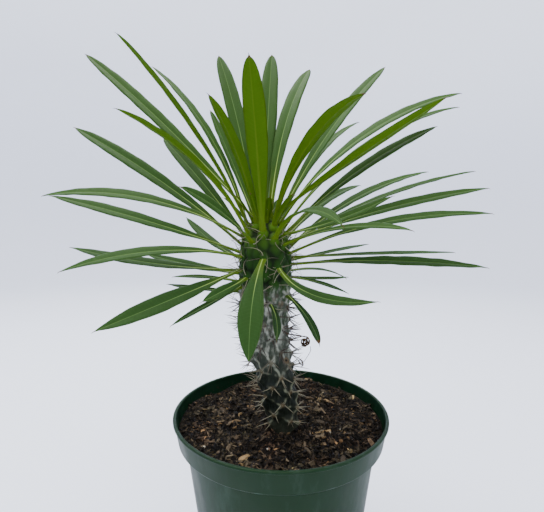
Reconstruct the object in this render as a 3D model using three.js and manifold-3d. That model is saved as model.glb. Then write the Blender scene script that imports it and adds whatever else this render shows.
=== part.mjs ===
// A Madagascar palm (Pachypodium lamerei) growing in a round nursery pot.
// Millimetres, +Z up, origin at the centre of the pot's underside. -Y is the side the viewer sees.
import * as THREE from 'three';
import { mergeVertices } from 'three/addons/utils/BufferGeometryUtils.js';
import Module from 'manifold-3d';

const wasm = await Module();
wasm.setup();

// Clearance between pieces that touch
const GAP = 0.35;

// Pot: a 6 inch round nursery pot
const RIM_RADIUS = 77.5;
const LIP_WIDTH = 2.4;
const LIP_HEIGHT = 1.8;
const POT_HEIGHT = 140;
const COLLAR_HEIGHT = 16.5;
const COLLAR_TOP_RADIUS = 76.4;
const COLLAR_FOOT_RADIUS = 73.8;
const BODY_TOP_RADIUS = 68.6;
const BODY_FOOT_RADIUS = 52.5;
const WALL = 1.6;
const FLOOR = 2.6;
const FOOT_CHAMFER = 2.5;
const SHOULDER = 1.5;
const LEDGE_FROM = 0.3;
const LEDGE_TO = 1.9;
const LIP_EDGE = 0.8;
const POT_SIDES = 60;
const DRAIN_HOLES = 8;
const DRAIN_RADIUS = 5;
const DRAIN_CIRCLE = 41;

// Soil: a dark peat and bark mix, heaped up a little round the stem and against the pot's wall
const SOIL_LEVEL = 126.5;
const SOIL_MOUND = 2.4;
const MOUND_REACH = 26;
const SOIL_AT_WALL = 4.8;
const SOIL_RISES_FROM = 46;
const SOIL_RISES_TO = 73;
const SOIL_TILT = 0.012;
const BROAD_WAVES = { height: 0.8, x: 9, y: 11 };
const SMALL_WAVES = { height: 0.5, x: 7, y: 5.3 };
const SOIL_SIDES = 40;
const SOIL_RINGS = 8;

// Chips of bark, with the range of their length and their proportions to it
const SOIL_CHIPS = 40;
const CHIP_LENGTH = [4.1, 8.6];
const CHIP_WIDTH = 0.5;
const CHIP_THICKNESS = 0.34;
const CHIP_TILT = 0.7;
const CHIP_LIFT = 0.3;
const CHIP_REACH = 64;
const CHIP_CLEAR_OF_STEM = 20;

// Where the soil is heaped up or has a hollow: x, y, height and reach
const SOIL_HEAPS = [[20, 64, 3.6, 9], [-50, 49, -3.2, 12], [-66, 22, 1.2, 10], [52, -34, -1.6, 14]];

// Stem: a swollen stem that leans to the left, with a domed crown
const STEM_TOP = 279;
const STEM_FOOT = 100;
const STEM_Y = -7;
const STEM_X_AT_SOIL = 2.2;
const STEM_X_AT_CROWN = -11;
const LEAN_FROM = 122;
const LEAN_TO = 216;
const STEM_SIDES = 32;
const STEM_RINGS = 52;
const TUBERCLE_SPACING = 10.6;
const TUBERCLE_RELIEF = 2.4;
const TUBERCLE_REACH = 6.6;
const CROWN_TUBERCLE_REACH = 4.6;
const CROWN_FOOT = 229;
const GOLDEN_ANGLE = 137.508;

// The stem is smooth where it is buried, and its lowest spines stand just above the soil
const SMOOTH_BELOW = SOIL_LEVEL - 6;
const ROUGH_ABOVE = SOIL_LEVEL + 4;
const SPINES_ABOVE = SOIL_LEVEL + 6;

// Cushions of the crown between its leaves
const CUSHION_TOP = 274;
const CUSHION_STEP = 0.9;
const CUSHION_APART = 7.2;

// Radius of the stem between its tubercles at each height, from the foot to the crown's top
const STEM_PROFILE = [
  [9, STEM_FOOT], [9, 126], [11.3, 145], [11.9, 163], [14, 188], [15.4, 208], [17, 228], [16.6, 248],
  [15, 261], [12, 270], [7, 276.4], [2.6, 278.7], [0, STEM_TOP],
];

// Spines: two long ones on each tubercle, with the ranges of their splay, tilt and share of the length
const SPINE_LENGTH = 12.5;
const CROWN_SPINE_LENGTH = 9.5;
const SPINE_RADIUS = 0.55;
const SPINE_SUNK = 1.8;
const SPINE_SPLAY = [0.55, 0.85];
const CROWN_SPINE_SPLAY = [0.8, 1.35];
const SPINE_TILT = [-0.25, 0.45];
const SPINE_SHARE = [0.75, 1.15];
const SPINE_OFFSET = 1.3;
const CROWN_SPINE_OFFSET = 2.5;
const SPINE_FOOT = 1.7;
const CROWN_SPINE_FOOT = 1;
const SPINE_CLEARANCE = 1.4;

// Blade of a leaf, with the narrow stalk that it starts from
const STALK_WIDTH = 3.3;
const STALK_THICKNESS = 1.7;
const MIDRIB_THICKNESS = 1.1;
const EDGE_THICKNESS = 0.6;
const BLADE_FOLD = 13;
const STALK_SHARE = 0.4;
const STALK_END = 0.3;
const WIDEST_AT = 0.62;
const TIP_BLUNTNESS = 2.4;
const TIP_WIDTH = 0.7;
const RIB_THINS_BY = 0.4;
const STALK_EDGE_SHARE = 0.6;
const ROLLED_AT = 0.35;
const RING_EVERY = 17;
const FEWEST_RINGS = 5;
const MOST_RINGS = 9;
const LEAF_SUNK = 3;

// One row for each leaf, youngest first. Foot: height of the leaf's foot on the stem, and the side
// of the stem that it grows from. Then where the leaf points, its rise, its length and its width,
// how much it arches down, how much it sweeps sideways and how far its blade is turned.
// Angles are degrees: 0 is +X, 90 is away from the viewer, and rise is up from level.
const LEAVES = [
  // foot side heading rise length width droop sweep roll
  [278.9, 120, 120, 78, 34, 5, 10, 0, 0],
  [278.7, 250, 250, 74, 26, 4, 12, 0, 0],
  [278, 335, 338, 32.4, 129, 12, 7, 0, -18],
  [277, 185, 172, 44, 172, 13, 9, -2, -40],
  [276.5, 62, 62, 62, 148, 14, 36, -8, 8],
  [274, 132, 141, 62, 100, 12, 4, 0, 4],
  [273.5, 6, 0, 36, 159, 13, 45, 18, 30],
  [273.5, 236, 237, 58, 88, 10.5, 28, -13, -6],
  [272, 304, 300, 35, 119, 13, 82, -25, 6],
  [272, 190, 190, 55.6, 149.5, 13, 17, -10, 10],
  [271.5, 48, 26, 53, 163, 14, 22, -2, 24],
  [271, 96, 84, 69, 157, 15, 15, 0, 0],
  [269, 26, 6, 35, 164, 13, 44, 14, 20],
  [268.5, 264, 265, 56, 108, 14, 16, 0, -10],
  [268.5, 155, 152, 56, 160, 12, 34, 6, -6],
  [267.5, 331, 334, 18, 76, 10, -16, -6, 40],
  [267, 8, 8, 35, 138, 13, 22, 3, 30],
  [267, 215, 209, 41.4, 112, 11, 42, -6, 6],
  [266.5, 114, 121, 66, 166, 14, 16, 4, -20],
  [265, 180, 178, 11.8, 150, 13, 40, -12, -34],
  [265, 62, 48, 42, 160, 13, 38, -8, 0],
  [264, 296, 295, 7, 84, 11, 74, 0, 20],
  [262, 142, 150, 45, 117, 12, 8, -5, -30],
  [262, 238, 238, 26, 73, 10, 21, -4, -62],
  [262, 347, 358, 15.3, 141, 13, 15, 0, 28],
  [260.5, 321, 321, 7, 90, 9, 34, -30, 26],
  [260.5, 90, 90, 33, 125, 13, 20, 0, 0],
  [260, 4, 8, 21, 152, 13, 20, -14, 12],
  [255, 194, 188, 17.2, 128, 12, 8, 0, -36],
  [259, 167, 172, 34.4, 154, 13, 12, 2, -44],
  [258, 48, 46, 26, 122, 13, 30, -4, 10],
  [254.5, 32, 26, 25.3, 156, 13, 27, -10, 16],
  [254, 341, 350, 12, 133, 12, 28, 0, 26],
  [252.5, 207, 199, -3, 114, 12, 33, -6, -30],
  [251.5, 9, 14, 0.5, 137, 10, 2, 0, 12],
  [250.5, 97, 98, 12, 118, 12, 22, 0, 0],
  [247.5, 40, 38, 6, 98, 9, 2, 2, 8],
  [247.5, 139, 140, 25, 79, 9, -24, 0, -16],
  [247, 350, 350, 0, 128, 12, 12, -3, 28],
  [246, 301, 317, -10.5, 77, 9.5, -42, 44, 30],
  [252, 268, 260.5, -53, 71.5, 16.5, 46, 16, 6],
  [244, 208, 210, -18, 99, 14, 0, -3, -40],
  [242.5, 172, 175, 7, 128, 12, -12, -6, -26],
  [242, 104, 104, -2, 95, 10, 24, 0, 0],
  [239, 228, 230, -15, 41, 8, 0, -4, -44],
  [239, 56, 46, -8, 92, 6, 28, 14, 20],
  [238.5, 151, 158, 8, 89, 9, -6, -4, -34],
  [237.5, 38, 31, -5, 62, 6, -12, 2, 20],
  [237.5, 15, 23, -17, 53, 6, 15, 0, 32],
  [234, 171, 165, 2, 54, 5, 14, 0, -28],
  [234, 83, 84, -14, 74, 8, 24, 0, 0],
  [233, 214, 215, -21, 55, 7, 5, 0, -14],
  [222, 281, 276.5, -22, 39, 6, 22, -26, -20],
  [227, 325, 313, -42, 42, 8, 45, 0, 2],
  [226, 155, 155, 1, 70, 6, -5, -3, -26],
].map(([foot, side, heading, rise, length, width, droop, sweep, roll], i) => ({
  name: `leaf_${String(i + 1).padStart(2, '0')}`,
  foot, side, heading, rise, length, width, droop, sweep, roll,
}));

// A dead leaf: a dry stalk that ends in a small curl, turned about once and drawn out sideways
const WITHERED_LEAF = {
  name: 'withered_leaf',
  foot: 198.4, side: 340, rise: -4, stalk: 14, radius: 3, turns: 1.6, shift: 5.6,
  stalkWidth: 1.3, width: 2.6, thickness: 0.8, tightens: 0.25, fullWidthAt: 0.3, narrows: [0.7, 1.4],
};

const rad = THREE.MathUtils.degToRad;
const smooth = (x, from = 0, to = 1) => THREE.MathUtils.smoothstep(x, from, to);

// Small seeded generator of numbers from 0 to 1
function seeded(seed) {
  let state = seed;
  return () => {
    state = (state * 1664525 + 1013904223) % 4294967296;
    return state / 4294967296;
  };
}

// A manifold solid from a three.js geometry
function solidOf(geometry) {
  const bare = geometry.clone();
  bare.deleteAttribute('normal');
  bare.deleteAttribute('uv');
  const merged = mergeVertices(bare, 1e-4);
  const index = Array.from(merged.index.array);
  const triangles = [];
  for (let i = 0; i < index.length; i += 3) {
    const [a, b, c] = index.slice(i, i + 3);
    if (a !== b && b !== c && c !== a) triangles.push(a, b, c);
  }
  return new wasm.Manifold(new wasm.Mesh({
    numProp: 3,
    vertProperties: new Float32Array(merged.attributes.position.array),
    triVerts: new Uint32Array(triangles),
  }));
}

// A three.js geometry from a manifold solid
function geometryOf(solid) {
  const mesh = solid.getMesh();
  const geometry = new THREE.BufferGeometry();
  geometry.setAttribute('position', new THREE.BufferAttribute(new Float32Array(mesh.vertProperties), 3));
  geometry.setIndex(new THREE.BufferAttribute(new Uint32Array(mesh.triVerts), 1));
  geometry.computeVertexNormals();
  return geometry;
}

// A closed skin over rings of points, each ring turning the same way, with a fan over each end
function loft(rings) {
  const sides = rings[0].length;
  const points = rings.flat();
  const centre = (ring) => ring.reduce((sum, p) => sum.add(p), new THREE.Vector3()).divideScalar(sides);
  const first = points.push(centre(rings[0])) - 1;
  const last = points.push(centre(rings.at(-1))) - 1;
  const index = [];
  for (let i = 0; i < sides; i++) {
    const j = (i + 1) % sides;
    index.push(first, j, i);
    for (let k = 0; k + 1 < rings.length; k++) {
      const low = k * sides;
      const high = low + sides;
      index.push(low + i, low + j, high + j, low + i, high + j, high + i);
    }
    const top = (rings.length - 1) * sides;
    index.push(last, top + i, top + j);
  }
  const geometry = new THREE.BufferGeometry().setFromPoints(points);
  geometry.setIndex(index);
  return geometry;
}

// Stem

const profileCurve = new THREE.SplineCurve(STEM_PROFILE.map(([r, z]) => new THREE.Vector2(r, z)));

// Point of the stem's profile at u from 0 (foot) to 1 (top), and the outward direction there
function profileAt(u) {
  const point = profileCurve.getPointAt(u);
  const along = profileCurve.getTangentAt(u);
  return { r: Math.max(0, point.x), z: point.y, outR: along.y, outZ: -along.x };
}

const PROFILE_STEPS = 400;
const profileTable = Array.from({ length: PROFILE_STEPS + 1 }, (_, i) => profileAt(i / PROFILE_STEPS));

function profileAtHeight(z) {
  return profileTable.find((entry) => entry.z >= z) ?? profileTable.at(-1);
}

function stemAxisX(z) {
  return THREE.MathUtils.lerp(STEM_X_AT_SOIL, STEM_X_AT_CROWN, smooth(z, LEAN_FROM, LEAN_TO));
}

// Point on the stem at a height and a side, and the direction out of the stem there
function stemPlace(height, side) {
  const { r, z, outR, outZ } = profileAtHeight(height);
  const [c, s] = [Math.cos(rad(side)), Math.sin(rad(side))];
  return {
    side,
    point: new THREE.Vector3(stemAxisX(z) + r * c, STEM_Y + r * s, z),
    out: new THREE.Vector3(outR * c, outR * s, outZ),
  };
}

// Tubercles: one under each leaf, cushions between them where there is room, and below the crown
// a spiral that turns by the golden angle
function tubercles() {
  const crown = LEAVES.map((leaf) => ({ ...stemPlace(leaf.foot, leaf.side), crown: true }));
  let side = 0;
  for (let height = CUSHION_TOP; height > CROWN_FOOT; height -= CUSHION_STEP) {
    const cushion = stemPlace(height, side);
    const free = crown.every((other) => other.point.distanceTo(cushion.point) > CUSHION_APART);
    if (free) crown.push({ ...cushion, crown: true });
    side = (side + GOLDEN_ANGLE) % 360;
  }
  const below = [];
  side = 0;
  let height = CROWN_FOOT - TUBERCLE_SPACING / 2;
  while (height > SOIL_LEVEL + TUBERCLE_SPACING / 2) {
    below.push({ ...stemPlace(height, side), crown: false });
    height -= TUBERCLE_SPACING ** 2 / (2 * Math.PI * profileAtHeight(height).r);
    side = (side + GOLDEN_ANGLE) % 360;
  }
  return [...crown, ...below];
}

const TUBERCLES = tubercles();

// Height of the tubercles above the stem's profile at a point of it
function reliefAt(point) {
  let nearest = Infinity;
  for (const tubercle of TUBERCLES) {
    const reach = tubercle.crown ? CROWN_TUBERCLE_REACH : TUBERCLE_REACH;
    nearest = Math.min(nearest, tubercle.point.distanceTo(point) / reach);
  }
  return TUBERCLE_RELIEF * (1 - smooth(nearest, 0, 1));
}

// The stem without its spines; grow makes it larger all over
function stemBody(grow) {
  const rings = [];
  for (let i = 0; i < STEM_RINGS; i++) {
    const { r, z, outR, outZ } = profileAt(i / STEM_RINGS);
    const ring = [];
    for (let k = 0; k < STEM_SIDES; k++) {
      const angle = (2 * Math.PI * (k + (i % 2) / 2)) / STEM_SIDES;
      const [c, s] = [Math.cos(angle), Math.sin(angle)];
      const onProfile = new THREE.Vector3(stemAxisX(z) + r * c, STEM_Y + r * s, z);
      const rise = reliefAt(onProfile) * smooth(z, SMOOTH_BELOW, ROUGH_ABOVE) + grow;
      onProfile.add(new THREE.Vector3(rise * outR * c, rise * outR * s, i === 0 ? -grow : rise * outZ));
      ring.push(onProfile);
    }
    rings.push(ring);
  }
  return solidOf(loft(rings));
}

// Leaves

// Direction of a leaf's midrib at s from 0 (foot) to 1 (tip)
function midribDirection(leaf, s) {
  const rise = rad(leaf.rise + leaf.droop * (0.5 - s));
  const heading = rad(leaf.heading + leaf.sweep * (s - 0.5));
  return new THREE.Vector3(
    Math.cos(rise) * Math.cos(heading),
    Math.cos(rise) * Math.sin(heading),
    Math.sin(rise),
  );
}

// Stations along a leaf, each with its place, its axes and the blade's width there
function leafStations(leaf, count) {
  const STEPS = 60;
  const foot = stemPlace(leaf.foot, leaf.side);
  const place = foot.point.clone();
  const stations = [];
  let next = 0;
  for (let step = 0; step <= STEPS; step++) {
    const s = step / STEPS;
    const along = midribDirection(leaf, s);
    if (s >= next / count - 1e-9) {
      const heading = rad(leaf.heading + leaf.sweep * (s - 0.5));
      const roll = rad(leaf.roll) * smooth(s, 0, ROLLED_AT);
      const across = new THREE.Vector3(-Math.sin(heading), Math.cos(heading), 0).applyAxisAngle(along, roll);
      const up = new THREE.Vector3().crossVectors(along, across);
      stations.push({ s, place: place.clone(), along, across, up, width: bladeWidth(leaf, s) });
      next += 1;
    }
    place.addScaledVector(midribDirection(leaf, (step + 0.5) / STEPS), leaf.length / STEPS);
  }
  // the stalk starts inside the stem
  const root = stations[0];
  const inward = foot.out.clone().add(root.along).normalize();
  stations.unshift({ ...root, s: -0.01, place: foot.point.clone().addScaledVector(inward, -LEAF_SUNK) });
  return stations;
}

function bladeWidth(leaf, s) {
  const stalk = Math.min(STALK_WIDTH, leaf.width * STALK_SHARE);
  const swell = smooth(s, 0, WIDEST_AT);
  const pastWidest = Math.max(0, (s - WIDEST_AT) / (1 - WIDEST_AT));
  const point = Math.sqrt(Math.max(0, 1 - pastWidest ** TIP_BLUNTNESS));
  return Math.max(TIP_WIDTH, THREE.MathUtils.lerp(stalk, leaf.width, swell) * point);
}

// Blade folded along its midrib, thicker in the middle than at its edges
function leafBody(leaf) {
  const count = THREE.MathUtils.clamp(Math.round(leaf.length / RING_EVERY), FEWEST_RINGS, MOST_RINGS);
  const rings = leafStations(leaf, count).map(({ s, place, across, up, width }) => {
    const half = width / 2;
    const out = half * Math.cos(rad(BLADE_FOLD));
    const lift = half * Math.sin(rad(BLADE_FOLD)) * smooth(s, 0, STALK_END);
    const stalk = 1 - smooth(s, 0, STALK_END);
    const rib = MIDRIB_THICKNESS * (1 - RIB_THINS_BY * Math.max(0, s));
    const middle = THREE.MathUtils.lerp(rib, STALK_THICKNESS, stalk);
    const edge = THREE.MathUtils.lerp(EDGE_THICKNESS, STALK_THICKNESS * STALK_EDGE_SHARE, stalk);
    const at = (x, z) => place.clone().addScaledVector(across, x).addScaledVector(up, z);
    return [
      at(0, middle / 2), at(-out, lift + edge / 2), at(-out, lift - edge / 2),
      at(0, -middle / 2), at(out, lift - edge / 2), at(out, lift + edge / 2),
    ];
  });
  return solidOf(loft(rings));
}

// Rings along the withered leaf, from inside the stem, along its stalk and round its curl
function witheredRings() {
  const {
    foot, side, rise, stalk, radius, turns, shift, stalkWidth, width, thickness,
    tightens, fullWidthAt, narrows,
  } = WITHERED_LEAF;
  const STALK_STEPS = 4;
  const CURL_STEPS = 18;
  const { point } = stemPlace(foot, side);
  const out = new THREE.Vector3(Math.cos(rad(side)), Math.sin(rad(side)), 0);
  const across = new THREE.Vector3(-out.y, out.x, 0);
  const along = out.clone().multiplyScalar(Math.cos(rad(rise))).setZ(Math.sin(rad(rise)));
  const up = new THREE.Vector3().crossVectors(along, across);
  const hub = point.clone().addScaledVector(along, stalk).addScaledVector(up, -radius);
  const rings = [];
  for (let i = -1; i <= STALK_STEPS + CURL_STEPS; i++) {
    const curled = Math.max(0, i - STALK_STEPS) / CURL_STEPS;
    const angle = 2 * Math.PI * turns * curled;
    const outward = up.clone().multiplyScalar(Math.cos(angle)).addScaledVector(along, Math.sin(angle));
    const middle = curled > 0
      ? hub.clone().addScaledVector(outward, radius * (1 - tightens * curled))
        .addScaledVector(across, -shift * curled)
      : point.clone().addScaledVector(along, i < 0 ? -LEAF_SUNK : (stalk * i) / STALK_STEPS);
    const fullness = smooth(curled, 0, fullWidthAt) - smooth(curled, ...narrows);
    const half = THREE.MathUtils.lerp(stalkWidth, width, fullness) / 2;
    const at = (x, z) => middle.clone().addScaledVector(across, x).addScaledVector(outward, z);
    rings.push([
      at(0, thickness / 2), at(-half, thickness / 4), at(-half, -thickness / 4),
      at(0, -thickness / 2), at(half, -thickness / 4), at(half, thickness / 4),
    ]);
  }
  return rings;
}

// A solid's largest separate piece
function largestPiece(solid) {
  return solid.decompose().sort((a, b) => b.volume() - a.volume())[0];
}

// Spines

const LEAF_ROUTES = LEAVES.map((leaf) => leafStations(leaf, 30));
const WITHERED_ROUTE = witheredRings().map(([place]) => ({ place, width: WITHERED_LEAF.width }));
LEAF_ROUTES.push(WITHERED_ROUTE);

// How far a point is from the nearest blade's edge
function clearOfLeaves(point) {
  let least = Infinity;
  for (const route of LEAF_ROUTES) {
    for (const { place, width } of route) {
      least = Math.min(least, place.distanceTo(point) - width / 2);
    }
  }
  return least;
}

function spine(start, direction, length) {
  const cone = new THREE.ConeGeometry(SPINE_RADIUS, length + SPINE_SUNK, 3);
  cone.translate(0, (length + SPINE_SUNK) / 2 - SPINE_SUNK, 0);
  cone.applyQuaternion(new THREE.Quaternion().setFromUnitVectors(new THREE.Vector3(0, 1, 0), direction));
  cone.translate(start.x, start.y, start.z);
  return solidOf(cone);
}

// Two spines on each tubercle, splayed to both sides, where they clear every leaf
function spines() {
  const CHECKED_AT = [0.1, 0.3, 0.5, 0.7, 0.85, 1];
  const random = seeded(7);
  const draw = ([low, high]) => THREE.MathUtils.lerp(low, high, random());
  const made = [];
  for (const { point, out, side, crown } of TUBERCLES) {
    const across = new THREE.Vector3(-Math.sin(rad(side)), Math.cos(rad(side)), 0);
    const up = new THREE.Vector3().crossVectors(out, across);
    for (const hand of [-1, 1]) {
      const splay = hand * draw(crown ? CROWN_SPINE_SPLAY : SPINE_SPLAY);
      const tilt = draw(SPINE_TILT);
      const length = (crown ? CROWN_SPINE_LENGTH : SPINE_LENGTH) * draw(SPINE_SHARE);
      const direction = out.clone().addScaledVector(across, splay).addScaledVector(up, tilt).normalize();
      const start = point.clone()
        .addScaledVector(out, crown ? CROWN_SPINE_FOOT : SPINE_FOOT)
        .addScaledVector(across, hand * (crown ? CROWN_SPINE_OFFSET : SPINE_OFFSET));
      const clear = CHECKED_AT.every((t) => (
        clearOfLeaves(start.clone().addScaledVector(direction, t * length)) > SPINE_CLEARANCE
      ));
      if (clear && start.z > SPINES_ABOVE) made.push(spine(start, direction, length));
    }
  }
  return made;
}

// Pot

const COLLAR_FOOT = POT_HEIGHT - COLLAR_HEIGHT;
const INSIDE_LEDGE = COLLAR_FOOT + LEDGE_TO;

// Outline of the pot's inside from the floor up to the collar
function potInside(gap) {
  return [
    [BODY_FOOT_RADIUS - WALL - gap, FLOOR + gap],
    [BODY_TOP_RADIUS - WALL - gap, COLLAR_FOOT + LEDGE_FROM + gap],
    [COLLAR_FOOT_RADIUS - WALL - gap, INSIDE_LEDGE + gap],
  ].map(([r, z]) => new THREE.Vector2(r, z));
}

// Radius of the collar's inside at a height
function collarInside(z) {
  const share = (z - INSIDE_LEDGE) / (POT_HEIGHT - LIP_EDGE - INSIDE_LEDGE);
  return THREE.MathUtils.lerp(COLLAR_FOOT_RADIUS - WALL, RIM_RADIUS - LIP_WIDTH, Math.max(0, share));
}

function pot() {
  const outline = [
    new THREE.Vector2(0, 0),
    new THREE.Vector2(BODY_FOOT_RADIUS - FOOT_CHAMFER, 0),
    new THREE.Vector2(BODY_FOOT_RADIUS, FOOT_CHAMFER),
    new THREE.Vector2(BODY_TOP_RADIUS, COLLAR_FOOT - SHOULDER),
    new THREE.Vector2(COLLAR_FOOT_RADIUS - SHOULDER, COLLAR_FOOT),
    new THREE.Vector2(COLLAR_FOOT_RADIUS, COLLAR_FOOT + SHOULDER),
    new THREE.Vector2(COLLAR_TOP_RADIUS, POT_HEIGHT - LIP_HEIGHT),
    new THREE.Vector2(RIM_RADIUS, POT_HEIGHT - LIP_HEIGHT),
    new THREE.Vector2(RIM_RADIUS, POT_HEIGHT - LIP_EDGE),
    new THREE.Vector2(RIM_RADIUS - LIP_EDGE, POT_HEIGHT),
    new THREE.Vector2(RIM_RADIUS - LIP_WIDTH + LIP_EDGE, POT_HEIGHT),
    new THREE.Vector2(RIM_RADIUS - LIP_WIDTH, POT_HEIGHT - LIP_EDGE),
    ...potInside(0).reverse(),
    new THREE.Vector2(0, FLOOR),
  ];
  const shell = new THREE.LatheGeometry(outline, POT_SIDES).rotateX(Math.PI / 2);
  let solid = solidOf(shell);
  for (let i = 0; i < DRAIN_HOLES; i++) {
    const angle = (2 * Math.PI * (i + 0.5)) / DRAIN_HOLES;
    const drill = new THREE.CylinderGeometry(DRAIN_RADIUS, DRAIN_RADIUS, 4 * FLOOR, 12).rotateX(Math.PI / 2);
    drill.translate(DRAIN_CIRCLE * Math.cos(angle), DRAIN_CIRCLE * Math.sin(angle), 0);
    solid = solid.subtract(solidOf(drill));
  }
  return solid;
}

// Soil

function soilHeight(x, y) {
  const bell = (cx, cy, reach) => Math.exp(-((Math.hypot(x - cx, y - cy) / reach) ** 2));
  const mound = SOIL_MOUND * bell(STEM_X_AT_SOIL, STEM_Y, MOUND_REACH);
  const heaps = SOIL_HEAPS.reduce((sum, [cx, cy, height, reach]) => sum + height * bell(cx, cy, reach), 0);
  const waves = BROAD_WAVES.height * Math.sin(x / BROAD_WAVES.x + 1) * Math.cos(y / BROAD_WAVES.y)
    + SMALL_WAVES.height * Math.sin(y / SMALL_WAVES.y + x / SMALL_WAVES.x);
  const atWall = smooth(Math.hypot(x, y), SOIL_RISES_FROM, SOIL_RISES_TO);
  return SOIL_LEVEL + mound + heaps + SOIL_TILT * y + THREE.MathUtils.lerp(waves, SOIL_AT_WALL, atWall);
}

// Flat, pointed chips of bark, larger than most real ones, lying half sunk in the surface
function soilChips() {
  const random = seeded(21);
  const chips = [];
  while (chips.length < SOIL_CHIPS) {
    const distance = CHIP_REACH * Math.sqrt(random());
    const angle = 2 * Math.PI * random();
    const [x, y] = [distance * Math.cos(angle), distance * Math.sin(angle)];
    const length = THREE.MathUtils.lerp(...CHIP_LENGTH, random());
    const chip = new THREE.OctahedronGeometry(0.5);
    chip.scale(length, length * CHIP_WIDTH, length * CHIP_THICKNESS);
    chip.rotateZ(2 * Math.PI * random());
    chip.rotateX(CHIP_TILT * (random() - 0.5)).rotateY(CHIP_TILT * (random() - 0.5));
    chip.translate(x, y, soilHeight(x, y) + CHIP_LIFT);
    const fromStem = Math.hypot(x - STEM_X_AT_SOIL, y - STEM_Y);
    if (fromStem > CHIP_CLEAR_OF_STEM) chips.push(solidOf(chip));
  }
  return chips;
}

function soil(stemHole) {
  // the corners of the soil stay inside the pot's flat sides
  const corner = Math.cos(Math.PI / POT_SIDES);
  const ring = (place) => Array.from({ length: SOIL_SIDES }, (_, k) => {
    const angle = (2 * Math.PI * k) / SOIL_SIDES;
    return place(Math.cos(angle), Math.sin(angle));
  });
  const rings = potInside(GAP).map(({ x: r, y: z }) => (
    ring((c, s) => new THREE.Vector3(r * corner * c, r * corner * s, z))
  ));
  for (let i = SOIL_RINGS; i > 0; i--) {
    rings.push(ring((c, s) => {
      const wall = soilHeight(COLLAR_FOOT_RADIUS * c, COLLAR_FOOT_RADIUS * s);
      const r = ((collarInside(wall) - GAP) * corner * i) / SOIL_RINGS;
      return new THREE.Vector3(r * c, r * s, i === SOIL_RINGS ? wall : soilHeight(r * c, r * s));
    }));
  }
  let solid = solidOf(loft(rings));
  for (const chip of soilChips()) solid = solid.add(chip);
  return largestPiece(solid.subtract(stemHole));
}

// Assembly

const POT_MATERIAL = new THREE.MeshStandardMaterial({ color: 0x3e584c, roughness: 0.55, metalness: 0 });
const SOIL_MATERIAL = new THREE.MeshStandardMaterial({ color: 0x2e1e15, roughness: 1, metalness: 0 });
const STEM_MATERIAL = new THREE.MeshStandardMaterial({ color: 0x7d8580, roughness: 0.85, metalness: 0 });
const LEAF_COLOR = 0x4d7a3a;
const WITHERED_COLOR = 0x4a3424;

function named(name, solid, material) {
  const mesh = new THREE.Mesh(geometryOf(solid), material);
  mesh.name = name;
  return mesh;
}

function leafMesh(name, body, grownStem, color) {
  const material = new THREE.MeshStandardMaterial({ color, roughness: 0.5, metalness: 0 });
  return named(name, largestPiece(body.subtract(grownStem)), material);
}

function plant() {
  const grownStem = stemBody(GAP);
  const stem = spines().reduce((solid, one) => solid.add(one), stemBody(0));
  const group = new THREE.Group();
  group.add(named('pot', pot(), POT_MATERIAL));
  group.add(named('soil', soil(grownStem), SOIL_MATERIAL));
  group.add(named('stem', stem, STEM_MATERIAL));
  for (const leaf of LEAVES) group.add(leafMesh(leaf.name, leafBody(leaf), grownStem, LEAF_COLOR));
  const withered = solidOf(loft(witheredRings()));
  group.add(leafMesh(WITHERED_LEAF.name, withered, grownStem, WITHERED_COLOR));
  return group;
}

export default plant();
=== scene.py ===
"""Dresses the potted Madagascar palm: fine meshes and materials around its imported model."""

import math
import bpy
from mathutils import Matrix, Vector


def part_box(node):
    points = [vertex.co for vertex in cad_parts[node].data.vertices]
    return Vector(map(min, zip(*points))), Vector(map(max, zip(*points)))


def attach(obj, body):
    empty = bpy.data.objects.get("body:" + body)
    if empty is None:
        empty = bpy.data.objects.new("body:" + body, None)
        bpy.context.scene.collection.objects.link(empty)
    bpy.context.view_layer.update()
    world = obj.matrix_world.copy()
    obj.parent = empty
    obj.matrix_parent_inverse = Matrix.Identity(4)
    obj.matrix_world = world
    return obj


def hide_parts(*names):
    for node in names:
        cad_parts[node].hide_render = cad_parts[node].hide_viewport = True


bl_info = {
    "name": "Potted Madagascar Palm",
    "version": (1, 0, 0),
    "blender": (4, 5, 0),
    "location": "3D View > Sidebar > Palm",
    "description": "Builds a young Madagascar palm in its nursery pot, with soil, spines and leaves",
    "category": "Add Mesh",
}

from collections import namedtuple

import bmesh
import bpy
from mathutils import Matrix, Vector, geometry, kdtree, noise

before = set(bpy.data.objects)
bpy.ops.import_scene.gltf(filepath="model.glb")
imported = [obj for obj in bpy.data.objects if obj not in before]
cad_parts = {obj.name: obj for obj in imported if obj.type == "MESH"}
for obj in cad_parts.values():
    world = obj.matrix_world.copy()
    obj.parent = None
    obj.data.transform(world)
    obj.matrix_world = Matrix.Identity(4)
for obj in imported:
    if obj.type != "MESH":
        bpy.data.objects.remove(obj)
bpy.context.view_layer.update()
POT_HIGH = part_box("pot")[1]

MM = 0.001

# The noise that moves points starts from the same place on each run
noise.seed_set(1)

# The plant's own shape, in millimetres and degrees, as in the solid model

SOIL_LEVEL = 126.5
SOIL_MOUND = 2.4
MOUND_REACH = 26
SOIL_AT_WALL = 4.8
SOIL_RISES_FROM = 46
SOIL_RISES_TO = 73
SOIL_TILT = 0.012
# Waves in the surface: their height, and how far they run in x and in y
BROAD_WAVES = (0.8, 9, 11)
SMALL_WAVES = (0.5, 7, 5.3)
# Where the soil is heaped up or has a hollow: x, y, height and reach
SOIL_HEAPS = [(20, 64, 3.6, 9), (-50, 49, -3.2, 12), (-66, 22, 1.2, 10), (52, -34, -1.6, 14)]
CHIP_LENGTH = (4.1, 8.6)
CHIP_COUNT = 40
CHIP_REACH = 64
CHIP_CLEAR_OF_STEM = 20
# Height and length of the clods in the surface, and of the grit on them
CLODS = (2.2, 8)
GRIT = (1.1, 2.4)
# How dark and how light the soil's tone goes; its dark end is partly painted shade in the hollows
SOIL_TONES = (0.34, 1.3)
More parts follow.
